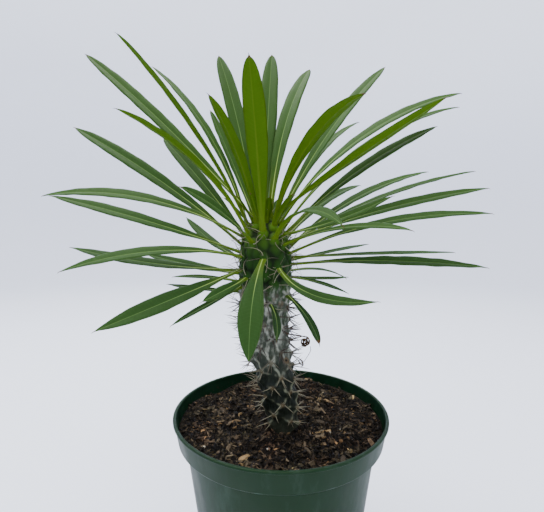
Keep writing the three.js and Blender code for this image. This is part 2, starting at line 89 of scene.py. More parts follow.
# Shares up to which a crumb is dark peat, and then brown bark
PEAT_UP_TO = 0.5
BARK_UP_TO = 0.95
CRUMB_REACH = 72.2
CRUMB_CLEAR_OF_STEM = 9
CRUMB_PILE = 1.5
# A crumb's and a shard's length as a share of the common one, their width and height as shares of
# the length, how far each of these varies, and how far they tilt
Grain = namedtuple("Grain", "length lengths width widths height heights tilt")
CRUMB = Grain(0.35, 0.9, 0.35, 0.35, 0.25, 0.3, 1.6)
SHARD = Grain(0.4, 0.8, 0.08, 0.12, 0.06, 0.06, 0.9)
FIBRE_REACH = 68
FIBRE_CLEAR_OF_STEM = 14
FIBRE_ENDS_AT = 71.5
FIBRE_LENGTH = (5, 19)
FIBRE_RADIUS = (0.14, 0.42)
FIBRE_BEND = 2.2
FIBRE_ARCH = 0.9
FIBRE_TONE = (0.5, 1.9)
WHITE_GRAINS = 6
WHITE_GRAIN_REACH = 66
WHITE_GRAIN_CLEAR_OF_STEM = 16
WHITE_GRAIN_RADIUS = (0.5, 1.3)

STEM_TOP = 279
STEM_FOOT = 100
STEM_Y = -7
STEM_X_AT_SOIL = 2.2
STEM_X_AT_CROWN = -11
LEAN_FROM = 122
LEAN_TO = 216
TUBERCLE_SPACING = 10.6
TUBERCLE_RELIEF = 2.4
TUBERCLE_REACH = 6.6
RIDGE_WIDTH = 0.9
SKIN_COLUMNS = 168
SKIN_ROWS = 270
CLUSTER_RELIEF = 0.25
# How wide and how long the folds in the skin are
FOLD_WIDTH = 3.4
FOLD_LENGTH = 14
CROWN_TUBERCLE_REACH = 4.6
CROWN_FOOT = 229
GOLDEN_ANGLE = 137.508
CUSHION_TOP = 274
CUSHION_STEP = 0.9
CUSHION_APART = 7.2
FILLER_TOP = 277.5
FILLER_STEP = 0.13
FILLER_APART = 5.4
FILLER_HEIGHT = 0.7
# How much of a crown tubercle's height counts in its reach, so that it is a long dome
DOME_LENGTH_SHARE = 0.8
WHISKERS_BELOW = 272
SMOOTH_BELOW = SOIL_LEVEL - 6
ROUGH_ABOVE = SOIL_LEVEL + 4
SPINES_ABOVE = SOIL_LEVEL + 6
# Radius between the tubercles at each height, from the stem's foot to its top
STEM_PROFILE = [
    (9, STEM_FOOT), (9, 126), (11.3, 145), (11.9, 163), (14, 188), (15.4, 208), (17, 228), (16.6, 248),
    (15, 261), (12, 270), (7, 276.4), (2.6, 278.7), (0, STEM_TOP),
]

# A brown scar low on the right: its height and its side
SCAR_SPOT = (180.5, 321)

# Heights in metres over which the skin's colours change, from the soil to the crown's top
DUST_ENDS = (0.128, 0.150)
GREYER = (0.160, 0.205)
GREEN_PATCHES = (0.198, 0.226)
SCARS_BEGIN = (0.200, 0.212)
SCARS_END = (0.222, 0.232)
CROWN_GREEN = (0.236, 0.246)
YELLOWER = (0.250, 0.274)
SPLASHES_END = (0.131, 0.138)

# Each tubercle's two long spines: the ranges of their splay, tilt and share of the full length
SPINE_SPLAY = (0.55, 0.85)
CROWN_SPINE_SPLAY = (0.8, 1.35)
SPINE_TILT = (-0.25, 0.45)
SPINE_SHARE = (0.75, 1.15)
SPINE_OFFSET = 1.3
CROWN_SPINE_OFFSET = 2.5
SPINE_FOOT = 1.7
CROWN_SPINE_FOOT = 1
SPINE_CLEARANCE = 1.4
SPINE_BEND = 0.2
CROWN_SPINE_BEND = 0.75
CROWN_SPINE_RADIUS = 0.95
# Heights over which the spines grow stouter, and browner
STOUTER = (150, 185)
BROWNER = (150, 200)
# The thinner spines round them, fuller higher up: ranges of splay, length and radius
FULLER_ABOVE = 165
THIN_SPLAY = (0.35, 1.0)
CROWN_THIN_SPLAY = (0.9, 2.0)
THIN_SHARE = (0.4, 0.85)
UPPER_THIN_SHARE = (0.7, 1.0)
THIN_RADIUS = (0.55, 0.8)
UPPER_THIN_RADIUS = (0.7, 0.95)
THIN_CLEARANCE = 0.4
# Two whiskers at most round each cushion of the crown, with a few tries to keep them off the leaves
WHISKERS = 2
WHISKER_TRIES = 5
WHISKER_OUTWARD = (0.5, 1.1)
WHISKER_SHARE = (0.9, 1.5)
WHISKER_OFFSET = 2
WHISKER_RADIUS = 0.9
WHISKER_CLEARANCE = 0.2
# Sides and rows of a spine's mesh, and how deep its foot is sunk in the stem
SPINE_SIDES = 5
SPINE_ROWS = 4
WHISKER_ROWS = 8
SPINE_SUNK = 1.8
SPINE_TAPER = 0.62

WIDEST_AT = 0.62
STALK_SHARE = 0.4
STALK_END = 0.3
LEAF_SUNK = 3

# One row for each leaf, youngest first: height of its foot on the stem, the side of the stem that
# it grows from, where it points, its rise, length and width, how far it arches down, how far it
# sweeps sideways, and how far its blade is turned
Leaf = namedtuple("Leaf", "foot side heading rise length width droop sweep roll")
LEAVES = [Leaf(*row) for row in (
    (278.9, 120, 120, 78, 34, 5, 10, 0, 0),
    (278.7, 250, 250, 74, 26, 4, 12, 0, 0),
    (278, 335, 338, 32.4, 129, 12, 7, 0, -18),
    (277, 185, 172, 44, 172, 13, 9, -2, -40),
    (276.5, 62, 62, 62, 148, 14, 36, -8, 8),
    (274, 132, 141, 62, 100, 12, 4, 0, 4),
    (273.5, 6, 0, 36, 159, 13, 45, 18, 30),
    (273.5, 236, 237, 58, 88, 10.5, 28, -13, -6),
    (272, 304, 300, 35, 119, 13, 82, -25, 6),
    (272, 190, 190, 55.6, 149.5, 13, 17, -10, 10),
    (271.5, 48, 26, 53, 163, 14, 22, -2, 24),
    (271, 96, 84, 69, 157, 15, 15, 0, 0),
    (269, 26, 6, 35, 164, 13, 44, 14, 20),
    (268.5, 264, 265, 56, 108, 14, 16, 0, -10),
    (268.5, 155, 152, 56, 160, 12, 34, 6, -6),
    (267.5, 331, 334, 18, 76, 10, -16, -6, 40),
    (267, 8, 8, 35, 138, 13, 22, 3, 30),
    (267, 215, 209, 41.4, 112, 11, 42, -6, 6),
    (266.5, 114, 121, 66, 166, 14, 16, 4, -20),
    (265, 180, 178, 11.8, 150, 13, 40, -12, -34),
    (265, 62, 48, 42, 160, 13, 38, -8, 0),
    (264, 296, 295, 7, 84, 11, 74, 0, 20),
    (262, 142, 150, 45, 117, 12, 8, -5, -30),
    (262, 238, 238, 26, 73, 10, 21, -4, -62),
    (262, 347, 358, 15.3, 141, 13, 15, 0, 28),
    (260.5, 321, 321, 7, 90, 9, 34, -30, 26),
    (260.5, 90, 90, 33, 125, 13, 20, 0, 0),
    (260, 4, 8, 21, 152, 13, 20, -14, 12),
    (255, 194, 188, 17.2, 128, 12, 8, 0, -36),
    (259, 167, 172, 34.4, 154, 13, 12, 2, -44),
    (258, 48, 46, 26, 122, 13, 30, -4, 10),
    (254.5, 32, 26, 25.3, 156, 13, 27, -10, 16),
    (254, 341, 350, 12, 133, 12, 28, 0, 26),
    (252.5, 207, 199, -3, 114, 12, 33, -6, -30),
    (251.5, 9, 14, 0.5, 137, 10, 2, 0, 12),
    (250.5, 97, 98, 12, 118, 12, 22, 0, 0),
    (247.5, 40, 38, 6, 98, 9, 2, 2, 8),
    (247.5, 139, 140, 25, 79, 9, -24, 0, -16),
    (247, 350, 350, 0, 128, 12, 12, -3, 28),
    (246, 301, 317, -10.5, 77, 9.5, -42, 44, 30),
    (252, 268, 260.5, -53, 71.5, 16.5, 46, 16, 6),
    (244, 208, 210, -18, 99, 14, 0, -3, -40),
    (242.5, 172, 175, 7, 128, 12, -12, -6, -26),
    (242, 104, 104, -2, 95, 10, 24, 0, 0),
    (239, 228, 230, -15, 41, 8, 0, -4, -44),
    (239, 56, 46, -8, 92, 6, 28, 14, 20),
    (238.5, 151, 158, 8, 89, 9, -6, -4, -34),
    (237.5, 38, 31, -5, 62, 6, -12, 2, 20),
    (237.5, 15, 23, -17, 53, 6, 15, 0, 32),
    (234, 171, 165, 2, 54, 5, 14, 0, -28),
    (234, 83, 84, -14, 74, 8, 24, 0, 0),
    (233, 214, 215, -21, 55, 7, 5, 0, -14),
    (222, 281, 276.5, -22, 39, 6, 22, -26, -20),
    (227, 325, 313, -42, 42, 8, 45, 0, 2),
    (226, 155, 155, 1, 70, 6, -5, -3, -26),
)]
BROWN_TIPPED = 54
# The youngest of the small leaves in the crown's centre, and how each next one differs
YOUNGEST = Leaf(278.9, 40, 40, 82, 8, 3.6, 14, 0, 0)
NEXT_OLDER = Leaf(-0.42, GOLDEN_ANGLE, GOLDEN_ANGLE, -2.6, 1.5, 0.14, 0, 0, 0)
YOUNGEST_NUMBER = 60

# A dead leaf: a dry stalk that ends in a small curl, turned about once and drawn out sideways
Withered = namedtuple("Withered", "foot side rise stalk radius turns shift stalk_width width thickness")
WITHERED_LEAF = Withered(198.4, 340, -4, 14, 3, 1.6, 5.6, 1.3, 2.6, 0.8)
WITHERED_STALK_SHARE = 0.25
# Points of the dry thread that hangs from it to the stem's edge
THREAD = [(20.5, -13, 190), (20.8, -13, 187), (19.4, -13, 184), (17.8, -13, 181.4), (16, -12.5, 178.6),
          (13.8, -12, 177.6)]
THREAD_WIDTH = 0.4
# Crumpled loops round its curl: their number, how far they scatter, and ranges of radius and turns
LOOP_COUNT = 4
LOOP_SCATTER = 2.4
LOOP_RADIUS = (1.6, 3)
LOOP_TURNS = (0.7, 1.3)
LOOP_WIDTH = 1.1
LOOP_THICKNESS = 0.4
# Radius and turns of the loop at the thread's end
END_LOOP = (2.6, 1.4)


# Small numbers and curves

def smooth(x, low=0.0, high=1.0):
    t = min(1.0, max(0.0, (x - low) / (high - low)))
    return t * t * (3 - 2 * t)


def between(a, b, t):
    return a + (b - a) * t


def seeded(seed):
    """A small generator of numbers from 0 to 1 that gives the same draws on each run."""
    state = seed

    def draw():
        nonlocal state
        state = (state * 1664525 + 1013904223) % 2**32
        return state / 2**32

    return draw


def color(red, green, blue):
    """A colour as it looks on screen, from 0 to 255, in the linear values that a shader takes."""
    return tuple((c / 255) ** 2.2 for c in (red, green, blue))


def sideways(heading):
    """The level direction to the left of a heading."""
    return Vector((-math.sin(heading), math.cos(heading), 0))


def turn(angle, axis="Z"):
    return Matrix.Rotation(angle, 4, axis)


# Meshes

def finish_mesh(bm, name, materials, smooth_faces=True):
    """Turns a bmesh into an object at the origin."""
    mesh = bpy.data.meshes.new(name)
    bm.to_mesh(mesh)
    bm.free()
    mesh.shade_smooth() if smooth_faces else mesh.shade_flat()
    for material in materials:
        mesh.materials.append(material)
    piece = bpy.data.objects.new(name, mesh)
    bpy.context.scene.collection.objects.link(piece)
    return piece


def dress(piece, slot, *nodes):
    """Makes a piece part of the plant, with the solid nodes that it stands for."""
    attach(piece, "root")
    if nodes:
        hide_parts(*nodes)


def wrapped_grid(columns, rows, place, patterns=()):
    """A closed skin from a grid wrapped round: place(u, v) gives a point, u round and v along it.
    The patterns are the names of the numbers that its points will carry."""
    bm = bmesh.new()
    for pattern in patterns:
        bm.verts.layers.float.new(pattern)
    bmesh.ops.create_grid(bm, x_segments=columns, y_segments=rows, size=0.5)
    spots = {}
    for vert in bm.verts:
        u, v = vert.co.x + 0.5, vert.co.y + 0.5
        spots[vert] = (u, v)
        vert.co = place(u, v)
    return bm, spots


def weld(bm, distance=1e-7):
    """Closes the seam of a wrapped grid and its open ends, and turns its faces out."""
    bmesh.ops.remove_doubles(bm, verts=bm.verts, dist=distance)
    open_edges = [edge for edge in bm.edges if edge.is_boundary]
    if open_edges:
        bmesh.ops.holes_fill(bm, edges=open_edges, sides=0)
    bmesh.ops.dissolve_degenerate(bm, edges=bm.edges, dist=distance)
    bmesh.ops.recalc_face_normals(bm, faces=bm.faces)


def join_batches(batches, name, materials, smooth_faces):
    """One object from many small bmeshes."""
    whole = bmesh.new()
    for bm in batches:
        part = bpy.data.meshes.new("part")
        bm.to_mesh(part)
        bm.free()
        whole.from_mesh(part)
        bpy.data.meshes.remove(part)
    return finish_mesh(whole, name, materials, smooth_faces)


# Finishes

class Finish:
    """A material with one Principled shader, whose inputs are fed by named steps."""

    def __init__(self, name):
        self.material = bpy.data.materials.new(name)
        self.material.use_nodes = True
        self.tree = self.material.node_tree
        self.shader = self.tree.nodes["Principled BSDF"]

    def node(self, kind, inputs, **settings):
        made = self.tree.nodes.new(kind)
        for setting, value in settings.items():
            setattr(made, setting, value)
        for key, value in inputs.items():
            self.feed(made.inputs[key], value)
        return made

    def feed(self, socket, value):
        if isinstance(value, bpy.types.NodeSocket):
            self.tree.links.new(value, socket)
        elif socket.type == "RGBA":
            socket.default_value = (*value, 1)
        else:
            socket.default_value = value

    def set(self, **inputs):
        for key, value in inputs.items():
            self.feed(self.shader.inputs[key.replace("_", " ")], value)

    def place(self):
        """The point of the object, in metres."""
        return self.node("ShaderNodeTexCoord", {}).outputs["Object"]

    def attribute(self, name, output="Fac"):
        return self.node("ShaderNodeAttribute", {}, attribute_name=name).outputs[output]

    def stretched(self, where, scale):
        return self.node("ShaderNodeMapping", {"Vector": where, "Scale": scale}).outputs[0]

    def noise(self, where, scale, detail=3.0, roughness=0.55, distortion=0.0):
        inputs = {
            "Vector": where, "Scale": scale, "Detail": detail,
            "Roughness": roughness, "Distortion": distortion,
        }
        return self.node("ShaderNodeTexNoise", inputs).outputs["Fac"]

    def cells(self, where, scale, output="Distance", feature="F1"):
        made = self.node("ShaderNodeTexVoronoi", {"Vector": where, "Scale": scale}, feature=feature)
        return made.outputs[output]

    def ramp(self, value, low, high, to_low=0.0, to_high=1.0):
        """The value's range from low to high, taken smoothly to another range and held there."""
        inputs = {0: value, 1: low, 2: high, 3: to_low, 4: to_high}
        return self.node("ShaderNodeMapRange", inputs, interpolation_type="SMOOTHSTEP").outputs[0]

    def math(self, operation, *values):
        made = self.node("ShaderNodeMath", dict(enumerate(values)), operation=operation)
        return made.outputs[0]

    def blend(self, share, under, over, mode="MIX"):
        """One colour laid over another, by a share from 0 to 1."""
        made = self.node("ShaderNodeMix", {0: share}, data_type="RGBA", blend_type=mode)
        self.feed(made.inputs[6], under)
        self.feed(made.inputs[7], over)
        return made.outputs[2]

    def split(self, vector):
        return self.node("ShaderNodeSeparateXYZ", {0: vector}).outputs

    def bump(self, height, distance, strength=1.0, below=None):
        inputs = {"Height": height, "Distance": distance, "Strength": strength}
        if below is not None:
            inputs["Normal"] = below
        return self.node("ShaderNodeBump", inputs).outputs[0]


# Settings

def length(name, description, default):
    return bpy.props.FloatProperty(name=name, description=description, default=default, unit="LENGTH",
                                   precision=5)


def tint(name, description, default):
    return bpy.props.FloatVectorProperty(name=name, description=description, default=default,
                                         subtype="COLOR", min=0, max=1)


def count(name, description, default):
    return bpy.props.IntProperty(name=name, description=description, default=default, min=0)


class PotSettings(bpy.types.PropertyGroup):
    rim_radius: length("Rim radius", "Outside radius over the lip", POT_HIGH.x)
    height: length("Height", "Height of the pot", POT_HIGH.z)
    lip_width: length("Lip width", "Width of the lip", 2.4 * MM)
    lip_height: length("Lip height", "Height of the lip", 1.8 * MM)
    collar_height: length("Collar height", "Height of the collar", 16.5 * MM)
    collar_top_radius: length("Collar top radius", "Outside radius under the lip", 76.4 * MM)
    collar_radius: length("Collar radius", "Outside radius at the collar's foot", 73.8 * MM)
    body_radius: length("Body radius", "Outside radius just under the collar", 68.6 * MM)
    foot_radius: length("Foot radius", "Outside radius at the pot's foot", 52.5 * MM)
    wall: length("Wall", "Thickness of the wall", 1.6 * MM)
    floor: length("Floor", "Thickness of the floor", 2.6 * MM)
    drain_holes: count("Drain holes", "Number of drain holes in the floor", 8)
    drain_radius: length("Drain radius", "Radius of a drain hole", 5 * MM)
    drain_circle: length("Drain circle", "Radius of the circle of drain holes", 41 * MM)
    plastic: tint("Plastic", "Colour of the plastic", color(12, 38, 20))
    # the inside's green, which its finish darkens in cloudy patches as painted shade
    inside: tint("Inside", "Colour of the pot's inside, which its finish darkens as painted shade", color(13, 36, 22))
    dust: tint("Dust", "Colour of dust and scuffs", color(90, 106, 98))


class SoilSettings(bpy.types.PropertyGroup):
    crumbs: count("Crumbs", "Number of crumbs and shards on the surface", 8200)
    crumb_length: length("Crumb length", "Length of a common crumb", 2.9 * MM)
    shard_share: bpy.props.FloatProperty(name="Shards", default=0.42, min=0, max=1, subtype="FACTOR",
                                         description="Share of the crumbs that are long shards")
    shard_length: length("Shard length", "Length of a common shard", 5.6 * MM)
    fibres: count("Fibres", "Number of thin roots and fibres", 300)
    peat: tint("Peat", "Colour of the dark peat", color(32, 28, 24))
    bark: tint("Bark", "Colour of brown bark", color(91, 79, 62))
    chip: tint("Chips", "Colour of the palest chips", color(152, 124, 86))


class StemSettings(bpy.types.PropertyGroup):
    ridge: length("Ridge", "Height of the ridges that join the spine clusters", 0.6 * MM)
    wrinkles: length("Wrinkles", "Height of the folds in the skin", 0.8 * MM)
    # the ridges' silver grey and the hollows' dark green grey stand partly for painted highlight and shade
    skin: tint("Skin", "Silver grey of the ridges", color(150, 152, 138))
    hollows: tint("Hollows", "Dark green grey between the ridges", color(58, 63, 53))
    low_skin: tint("Skin near the soil", "Grey of the ridges near the soil", color(94, 96, 78))
    low_hollows: tint("Hollows near the soil", "Dark between the ridges near the soil", color(20, 25, 19))
    scars: tint("Scars", "Brown of old leaf scars", color(84, 70, 50))
    spine_foot: tint("Spine feet", "Dark brown round the spines higher up", color(48, 38, 30))
    crown: tint("Crown", "Green of the crown", color(30, 58, 12))
    crown_top: tint("Crown's top", "Yellow green of the crown's top", color(62, 90, 16))
    spine_length: length("Spine length", "Length of a full spine", 12.5 * MM)
    crown_spine_length: length("Crown spine length", "Length of a crown spine", 11.5 * MM)
    spine_radius: length("Spine radius", "Radius of a spine's foot", 0.34 * MM)
    thin_spines: count("Thin spines", "Number of thinner spines round each pair", 2)
    upper_spines: count("Upper thin spines", "Number of thinner spines higher up", 4)
    spine: tint("Spines", "Pale colour of the spines near the soil", color(134, 128, 104))
    old_spine: tint("Upper spines", "Brown of the spines higher up", color(50, 40, 32))
    spine_tip: tint("Spine tips", "Colour of the spines' tips", color(44, 34, 28))


class LeafSettings(bpy.types.PropertyGroup):
    blade_thickness: length("Blade thickness", "Thickness of the blade", 0.55 * MM)
    stalk_width: length("Stalk width", "Width of a leaf's narrow foot", 3.3 * MM)
    stalk_thickness: length("Stalk thickness", "Thickness of a leaf's foot", 1.7 * MM)
    keel: length("Keel", "How far the midrib stands out below", 0.75 * MM)
    wave: length("Wave", "Height of the waves in the margin", 0.12 * MM)
    fold: bpy.props.FloatProperty(name="Fold", description="Fold of each half of the blade",
                                  default=math.radians(17), subtype="ANGLE")
    youngest: count("Youngest leaves", "Number of small leaves in the crown's centre", 16)
    vein_spacing: length("Vein spacing", "Distance between side veins", 2.4 * MM)
    upper: tint("Upper face", "Green of the upper face", color(41, 63, 31))
    old: tint("Old leaves", "Dull green of the lowest leaves", color(30, 46, 27))
    # the underside's brighter yellow green is partly its own paler green and partly painted glow of light
    # shining through the leaf
    under: tint("Underside", "Brighter green of the underside", color(55, 80, 12))
    foot: tint("Foot", "Yellow green of the leaf's foot", color(78, 98, 26))
    rib: tint("Midrib", "Colour of the midrib above", color(90, 117, 64))
    pale_rib: tint("Midrib at the foot", "Colour of the midrib near the leaf's foot", color(142, 166, 86))
    under_rib: tint("Midrib below", "Colour of the midrib below", color(74, 94, 26))
    brown: tint("Brown", "Colour of dry leaf", color(74, 56, 38))


class StageSettings(bpy.types.PropertyGroup):
    backdrop: tint("Backdrop", "Colour of the floor and backdrop", color(211, 216, 228))
    glow: bpy.props.FloatProperty(name="Glow", description="How much the backdrop is lit higher up",
                                  default=0.8)
    key: bpy.props.FloatProperty(name="Key light", description="Large light above", default=62,
                                 unit="POWER")
    front: bpy.props.FloatProperty(name="Front light", description="Soft light by the camera",
                                   default=5, unit="POWER")
    sky: bpy.props.FloatProperty(name="Sky", description="Strength of the pale sky", default=2.4)


# Pot

def rounded(corners, steps=5):
    """Points of an outline whose corners (radius, height, rounding) are turned into arcs."""
    points = []
    for i, (r, z, rounding) in enumerate(corners):
        here = Vector((r, 0, z))
        if rounding == 0 or i in (0, len(corners) - 1):
            points.append(here)
            continue
        before = Vector((corners[i - 1][0], 0, corners[i - 1][1]))
        after = Vector((corners[i + 1][0], 0, corners[i + 1][1]))
        start = here + (before - here).normalized() * rounding
        end = here + (after - here).normalized() * rounding
        for k in range(steps + 1):
            t = k / steps
            points.append(start * (1 - t) ** 2 + here * 2 * t * (1 - t) + end * t * t)
    return points


def pot_outline(pot):
    """From the middle of the underside, up the outside, over the lip and down the inside."""
    collar_foot = pot.height - pot.collar_height
    return rounded([
        (0, 0, 0),
        (30 * MM, 0, 0),
        (pot.foot_radius - 1.2 * MM, 0, 1.6 * MM),
        (pot.foot_radius + 0.1 * MM, 4 * MM, 0.6 * MM),
        (pot.body_radius, collar_foot - 1.2 * MM, 1.1 * MM),
        (pot.collar_radius, collar_foot + 0.2 * MM, 1.2 * MM),
        (pot.collar_top_radius, pot.height - pot.lip_height, 0.3 * MM),
        (pot.rim_radius, pot.height - pot.lip_height + 0.1 * MM, 0.5 * MM),
        (pot.rim_radius, pot.height, 0.9 * MM),
        (pot.rim_radius - pot.lip_width, pot.height, 0.9 * MM),
        (pot.collar_radius - pot.wall, collar_foot + 1.9 * MM, 1.0 * MM),
        (pot.body_radius - pot.wall, collar_foot + 0.3 * MM, 1.0 * MM),
        (pot.foot_radius - pot.wall, pot.floor, 1.6 * MM),
        (30 * MM, pot.floor, 0),
        (0, pot.floor, 0),
    ])


def revolved(points, steps):
    """An outline turned once round the Z axis."""
    bm = bmesh.new()
    verts = [bm.verts.new(point) for point in points]
    for a, b in zip(verts, verts[1:]):
        bm.edges.new((a, b))
    bmesh.ops.spin(bm, geom=bm.verts[:] + bm.edges[:], cent=(0, 0, 0), axis=(0, 0, 1),
                   angle=math.tau, steps=steps, use_merge=True)
    return bm


def drilled(piece, circle, radius, holes, depth):
    """Cuts a ring of round holes through the floor of a piece."""
    bm = bmesh.new()
    for i in range(holes):
        angle = math.tau * (i + 0.5) / holes
        spot = Matrix.Translation((circle * math.cos(angle), circle * math.sin(angle), 0))
        bmesh.ops.create_cone(bm, cap_ends=True, segments=40, radius1=radius, radius2=radius,
                              depth=4 * depth, matrix=spot)
    drill = finish_mesh(bm, "drill", [])
    cut = piece.modifiers.new("Drain holes", "BOOLEAN")
    cut.operation = "DIFFERENCE"
    cut.solver = "EXACT"
    cut.object = drill
    graph = bpy.context.evaluated_depsgraph_get()
    solid = bpy.data.meshes.new_from_object(piece.evaluated_get(graph))
    piece.modifiers.clear()
    piece.data = solid
    bpy.data.objects.remove(drill)


def plastic_finish(pot):
    finish = Finish("Nursery pot plastic")
    place = finish.place()
    z = finish.split(place)[2]
    clouds = finish.noise(place, 28.0, 4.0)
    grime = finish.noise(finish.stretched(place, (1, 1, 0.25)), 90.0, 6.0, 0.7)
    base = finish.blend(finish.ramp(clouds, 0.3, 0.7, 0.0, 0.35), tuple(pot.plastic),
                        tuple(0.8 * c for c in pot.plastic))
    dusty = finish.blend(finish.ramp(grime, 0.5, 0.8, 0.0, 0.2), base, tuple(pot.dust))
    # a pale scuffed line where stacked pots rub the collar's foot
    foot = pot.height - pot.collar_height
    rub_height = finish.math("ABSOLUTE", finish.math("SUBTRACT", z, foot + 0.2 * MM))
    rub = finish.math("MULTIPLY", finish.ramp(rub_height, 0.3 * MM, 1.3 * MM, 1.0, 0.0),
                      finish.ramp(finish.noise(finish.stretched(place, (1, 1, 0.2)), 60.0, 5.0), 0.5, 0.7))
    scuffed = finish.blend(finish.math("MULTIPLY", rub, 0.4), dusty, tuple(pot.dust))
    finish.set(
        Base_Color=scuffed,
        Roughness=finish.ramp(grime, 0.3, 0.8, 0.42, 0.6),
        Specular_IOR_Level=0.14,
        Specular_Tint=(0.95, 1.0, 0.8),
        Normal=finish.bump(finish.noise(place, 900.0, 3.0), 0.05 * MM, 0.35,
                           finish.bump(finish.noise(place, 55.0, 2.0), 0.25 * MM, 0.25)),
    )
    return finish.material


def inside_finish_with_painted_shade(pot):
    finish = Finish("Plastic inside with painted shade")
    place = finish.place()
    clouds = finish.noise(place, 60.0, 5.0)
    # the pot's inside: its green plastic darkened in cloudy patches as painted shade, with soil splashed low
    # down
    shade = finish.blend(finish.ramp(clouds, 0.35, 0.7, 0.0, 0.6), tuple(pot.inside),
                         tuple(0.5 * c for c in pot.inside))
    z = finish.split(place)[2]
    splash = finish.math("MULTIPLY", finish.ramp(z, *SPLASHES_END, 1.0, 0.0),
                         finish.ramp(finish.noise(place, 420.0, 3.0), 0.58, 0.66))
    finish.set(
        Base_Color=finish.blend(finish.math("MULTIPLY", splash, 0.8), shade, color(40, 32, 26)),
        Roughness=finish.ramp(clouds, 0.3, 0.7, 0.45, 0.65),
        Specular_IOR_Level=0.04,
        Normal=finish.bump(finish.noise(place, 700.0, 3.0), 0.06 * MM, 0.4),
    )
    return finish.material


class PALM_OT_pot(bpy.types.Operator):
    """Spin the nursery pot with its collar and lip, and cut the drain holes"""

    bl_idname = "palm.pot"
    bl_label = "Pot"

    def execute(self, context):
        pot = context.scene.palm_pot
        bm = revolved(pot_outline(pot), 144)
        weld(bm, 1e-6)
        piece = finish_mesh(bm, "nursery_pot", [plastic_finish(pot), inside_finish_with_painted_shade(pot)])
        drilled(piece, pot.drain_circle, pot.drain_radius, pot.drain_holes, pot.floor)
        inside_from = pot.rim_radius - pot.lip_width
        for face in piece.data.polygons:
            middle = face.center
            inward = face.normal.x * middle.x + face.normal.y * middle.y < 0
            up_inside = face.normal.z > 0.5 and middle.z < pot.height - 3 * MM
            in_the_pot = math.hypot(middle.x, middle.y) < inside_from and middle.z > pot.floor - 0.1 * MM
            face.material_index = 1 if in_the_pot and (inward or up_inside) else 0
            face.use_smooth = True
        piece.data.set_sharp_from_angle(angle=math.radians(50))
        dress(piece, "pot", "pot")
        return {"FINISHED"}


# Soil

def soil_height(x, y):
    """Height of the soil's surface at a place, all in millimetres."""
    def bell(middle_x, middle_y, reach):
        return math.exp(-((math.hypot(x - middle_x, y - middle_y) / reach) ** 2))

    mound = SOIL_MOUND * bell(STEM_X_AT_SOIL, STEM_Y, MOUND_REACH)
    heaps = sum(height * bell(at_x, at_y, reach) for at_x, at_y, height, reach in SOIL_HEAPS)
    broad, broad_x, broad_y = BROAD_WAVES
    small, small_x, small_y = SMALL_WAVES
    waves = broad * math.sin(x / broad_x + 1) * math.cos(y / broad_y)
    waves += small * math.sin(y / small_y + x / small_x)
    at_wall = smooth(math.hypot(x, y), SOIL_RISES_FROM, SOIL_RISES_TO)
    return SOIL_LEVEL + mound + heaps + SOIL_TILT * y + between(waves, SOIL_AT_WALL, at_wall)


def clods(x, y):
    """Fine ups and downs of the loose surface, in millimetres."""
    clod_height, clod_length = CLODS
    grit_height, grit_length = GRIT
    lumps = clod_height * noise.turbulence(Vector((x / clod_length, y / clod_length, 3.1)), 3, False)
    grains = grit_height * noise.turbulence(Vector((x / grit_length, y / grit_length, 7.7)), 2, True)
    return lumps + grains - grit_height


def inside_radius(pot, height):
    """Radius of the collar's inside at a height, all in metres."""
    ledge = pot.height - pot.collar_height + 1.9 * MM
    share = max(0.0, (height - ledge) / (pot.height - MM - ledge))
    return between(pot.collar_radius - pot.wall, pot.rim_radius - pot.lip_width, share)


def soil_bed(pot):
    """The soil's body: a round surface of clods, with sides that follow the pot's wall down."""
    cells = 170
    gap = 0.15 * MM
    calm_from, calm_to = 0.93, 0.995
    middle_radius = pot.collar_radius / MM
    bm = bmesh.new()
    bmesh.ops.create_grid(bm, x_segments=cells, y_segments=cells, size=1)
    for vert in bm.verts:
        u, v = vert.co.x, vert.co.y
        flat = Vector((u * math.sqrt(1 - v * v / 2), v * math.sqrt(1 - u * u / 2)))
        share = flat.length
        way = flat.normalized() if share > 0 else flat
        at_wall = soil_height(*(way * middle_radius)) * MM
        x, y = flat * (inside_radius(pot, at_wall) - gap) / MM
        calm = 1 - smooth(share, calm_from, calm_to)
        vert.co = Vector((x, y, soil_height(x, y) + clods(x, y) * calm)) * MM
    rim = [edge for edge in bm.edges if edge.is_boundary]
    ledge = (pot.body_radius - pot.wall - gap, pot.height - pot.collar_height)
    bottom = (pot.foot_radius - pot.wall - gap, pot.floor + gap)
    for r, z in (ledge, bottom):
        skirt = bmesh.ops.extrude_edge_only(bm, edges=rim)["geom"]
        for vert in (item for item in skirt if isinstance(item, bmesh.types.BMVert)):
            out = Vector((vert.co.x, vert.co.y)).normalized() * r
            vert.co = (out.x, out.y, z)
        rim = [item for item in skirt if isinstance(item, bmesh.types.BMEdge)]
    bmesh.ops.holes_fill(bm, edges=rim, sides=0)
    bmesh.ops.recalc_face_normals(bm, faces=bm.faces)
    return bm


def soil_shade_and_tone(x, y):
    """How light the soil is at a place: darker in its hollows, as painted shade and dark damp peat, and
    darker in random patches.
    """
    patches = noise.noise(Vector((x / 11, y / 11, 5.3))) + 0.5 * noise.noise(Vector((x / 4, y / 4, 1.7)))
    return between(*SOIL_TONES, smooth(0.45 * clods(x, y) + 1.3 * patches, -0.7, 0.9))


def crumb_tint(draw, soil, x, y):
    """A crumb's colour: mostly dark peat, then brown bark, and a few pale chips."""
    kind = draw()
    # the soil's tone here, with its painted shade in the hollows, and a random lightness for the crumb
    shade = (0.45 + 1.1 * draw() ** 2) * soil_shade_and_tone(x, y)
    reddish = 0.15 * noise.noise(Vector((x / 16, y / 16, 8.1)))
    if kind < PEAT_UP_TO:
        base = soil.peat
    elif kind < BARK_UP_TO:
        base = soil.bark
    else:
        base = soil.chip
    red, green, blue = (shade * c for c in base)
    return (red * (1 + reddish), green * (1 - reddish), blue * (1 - reddish), 1)


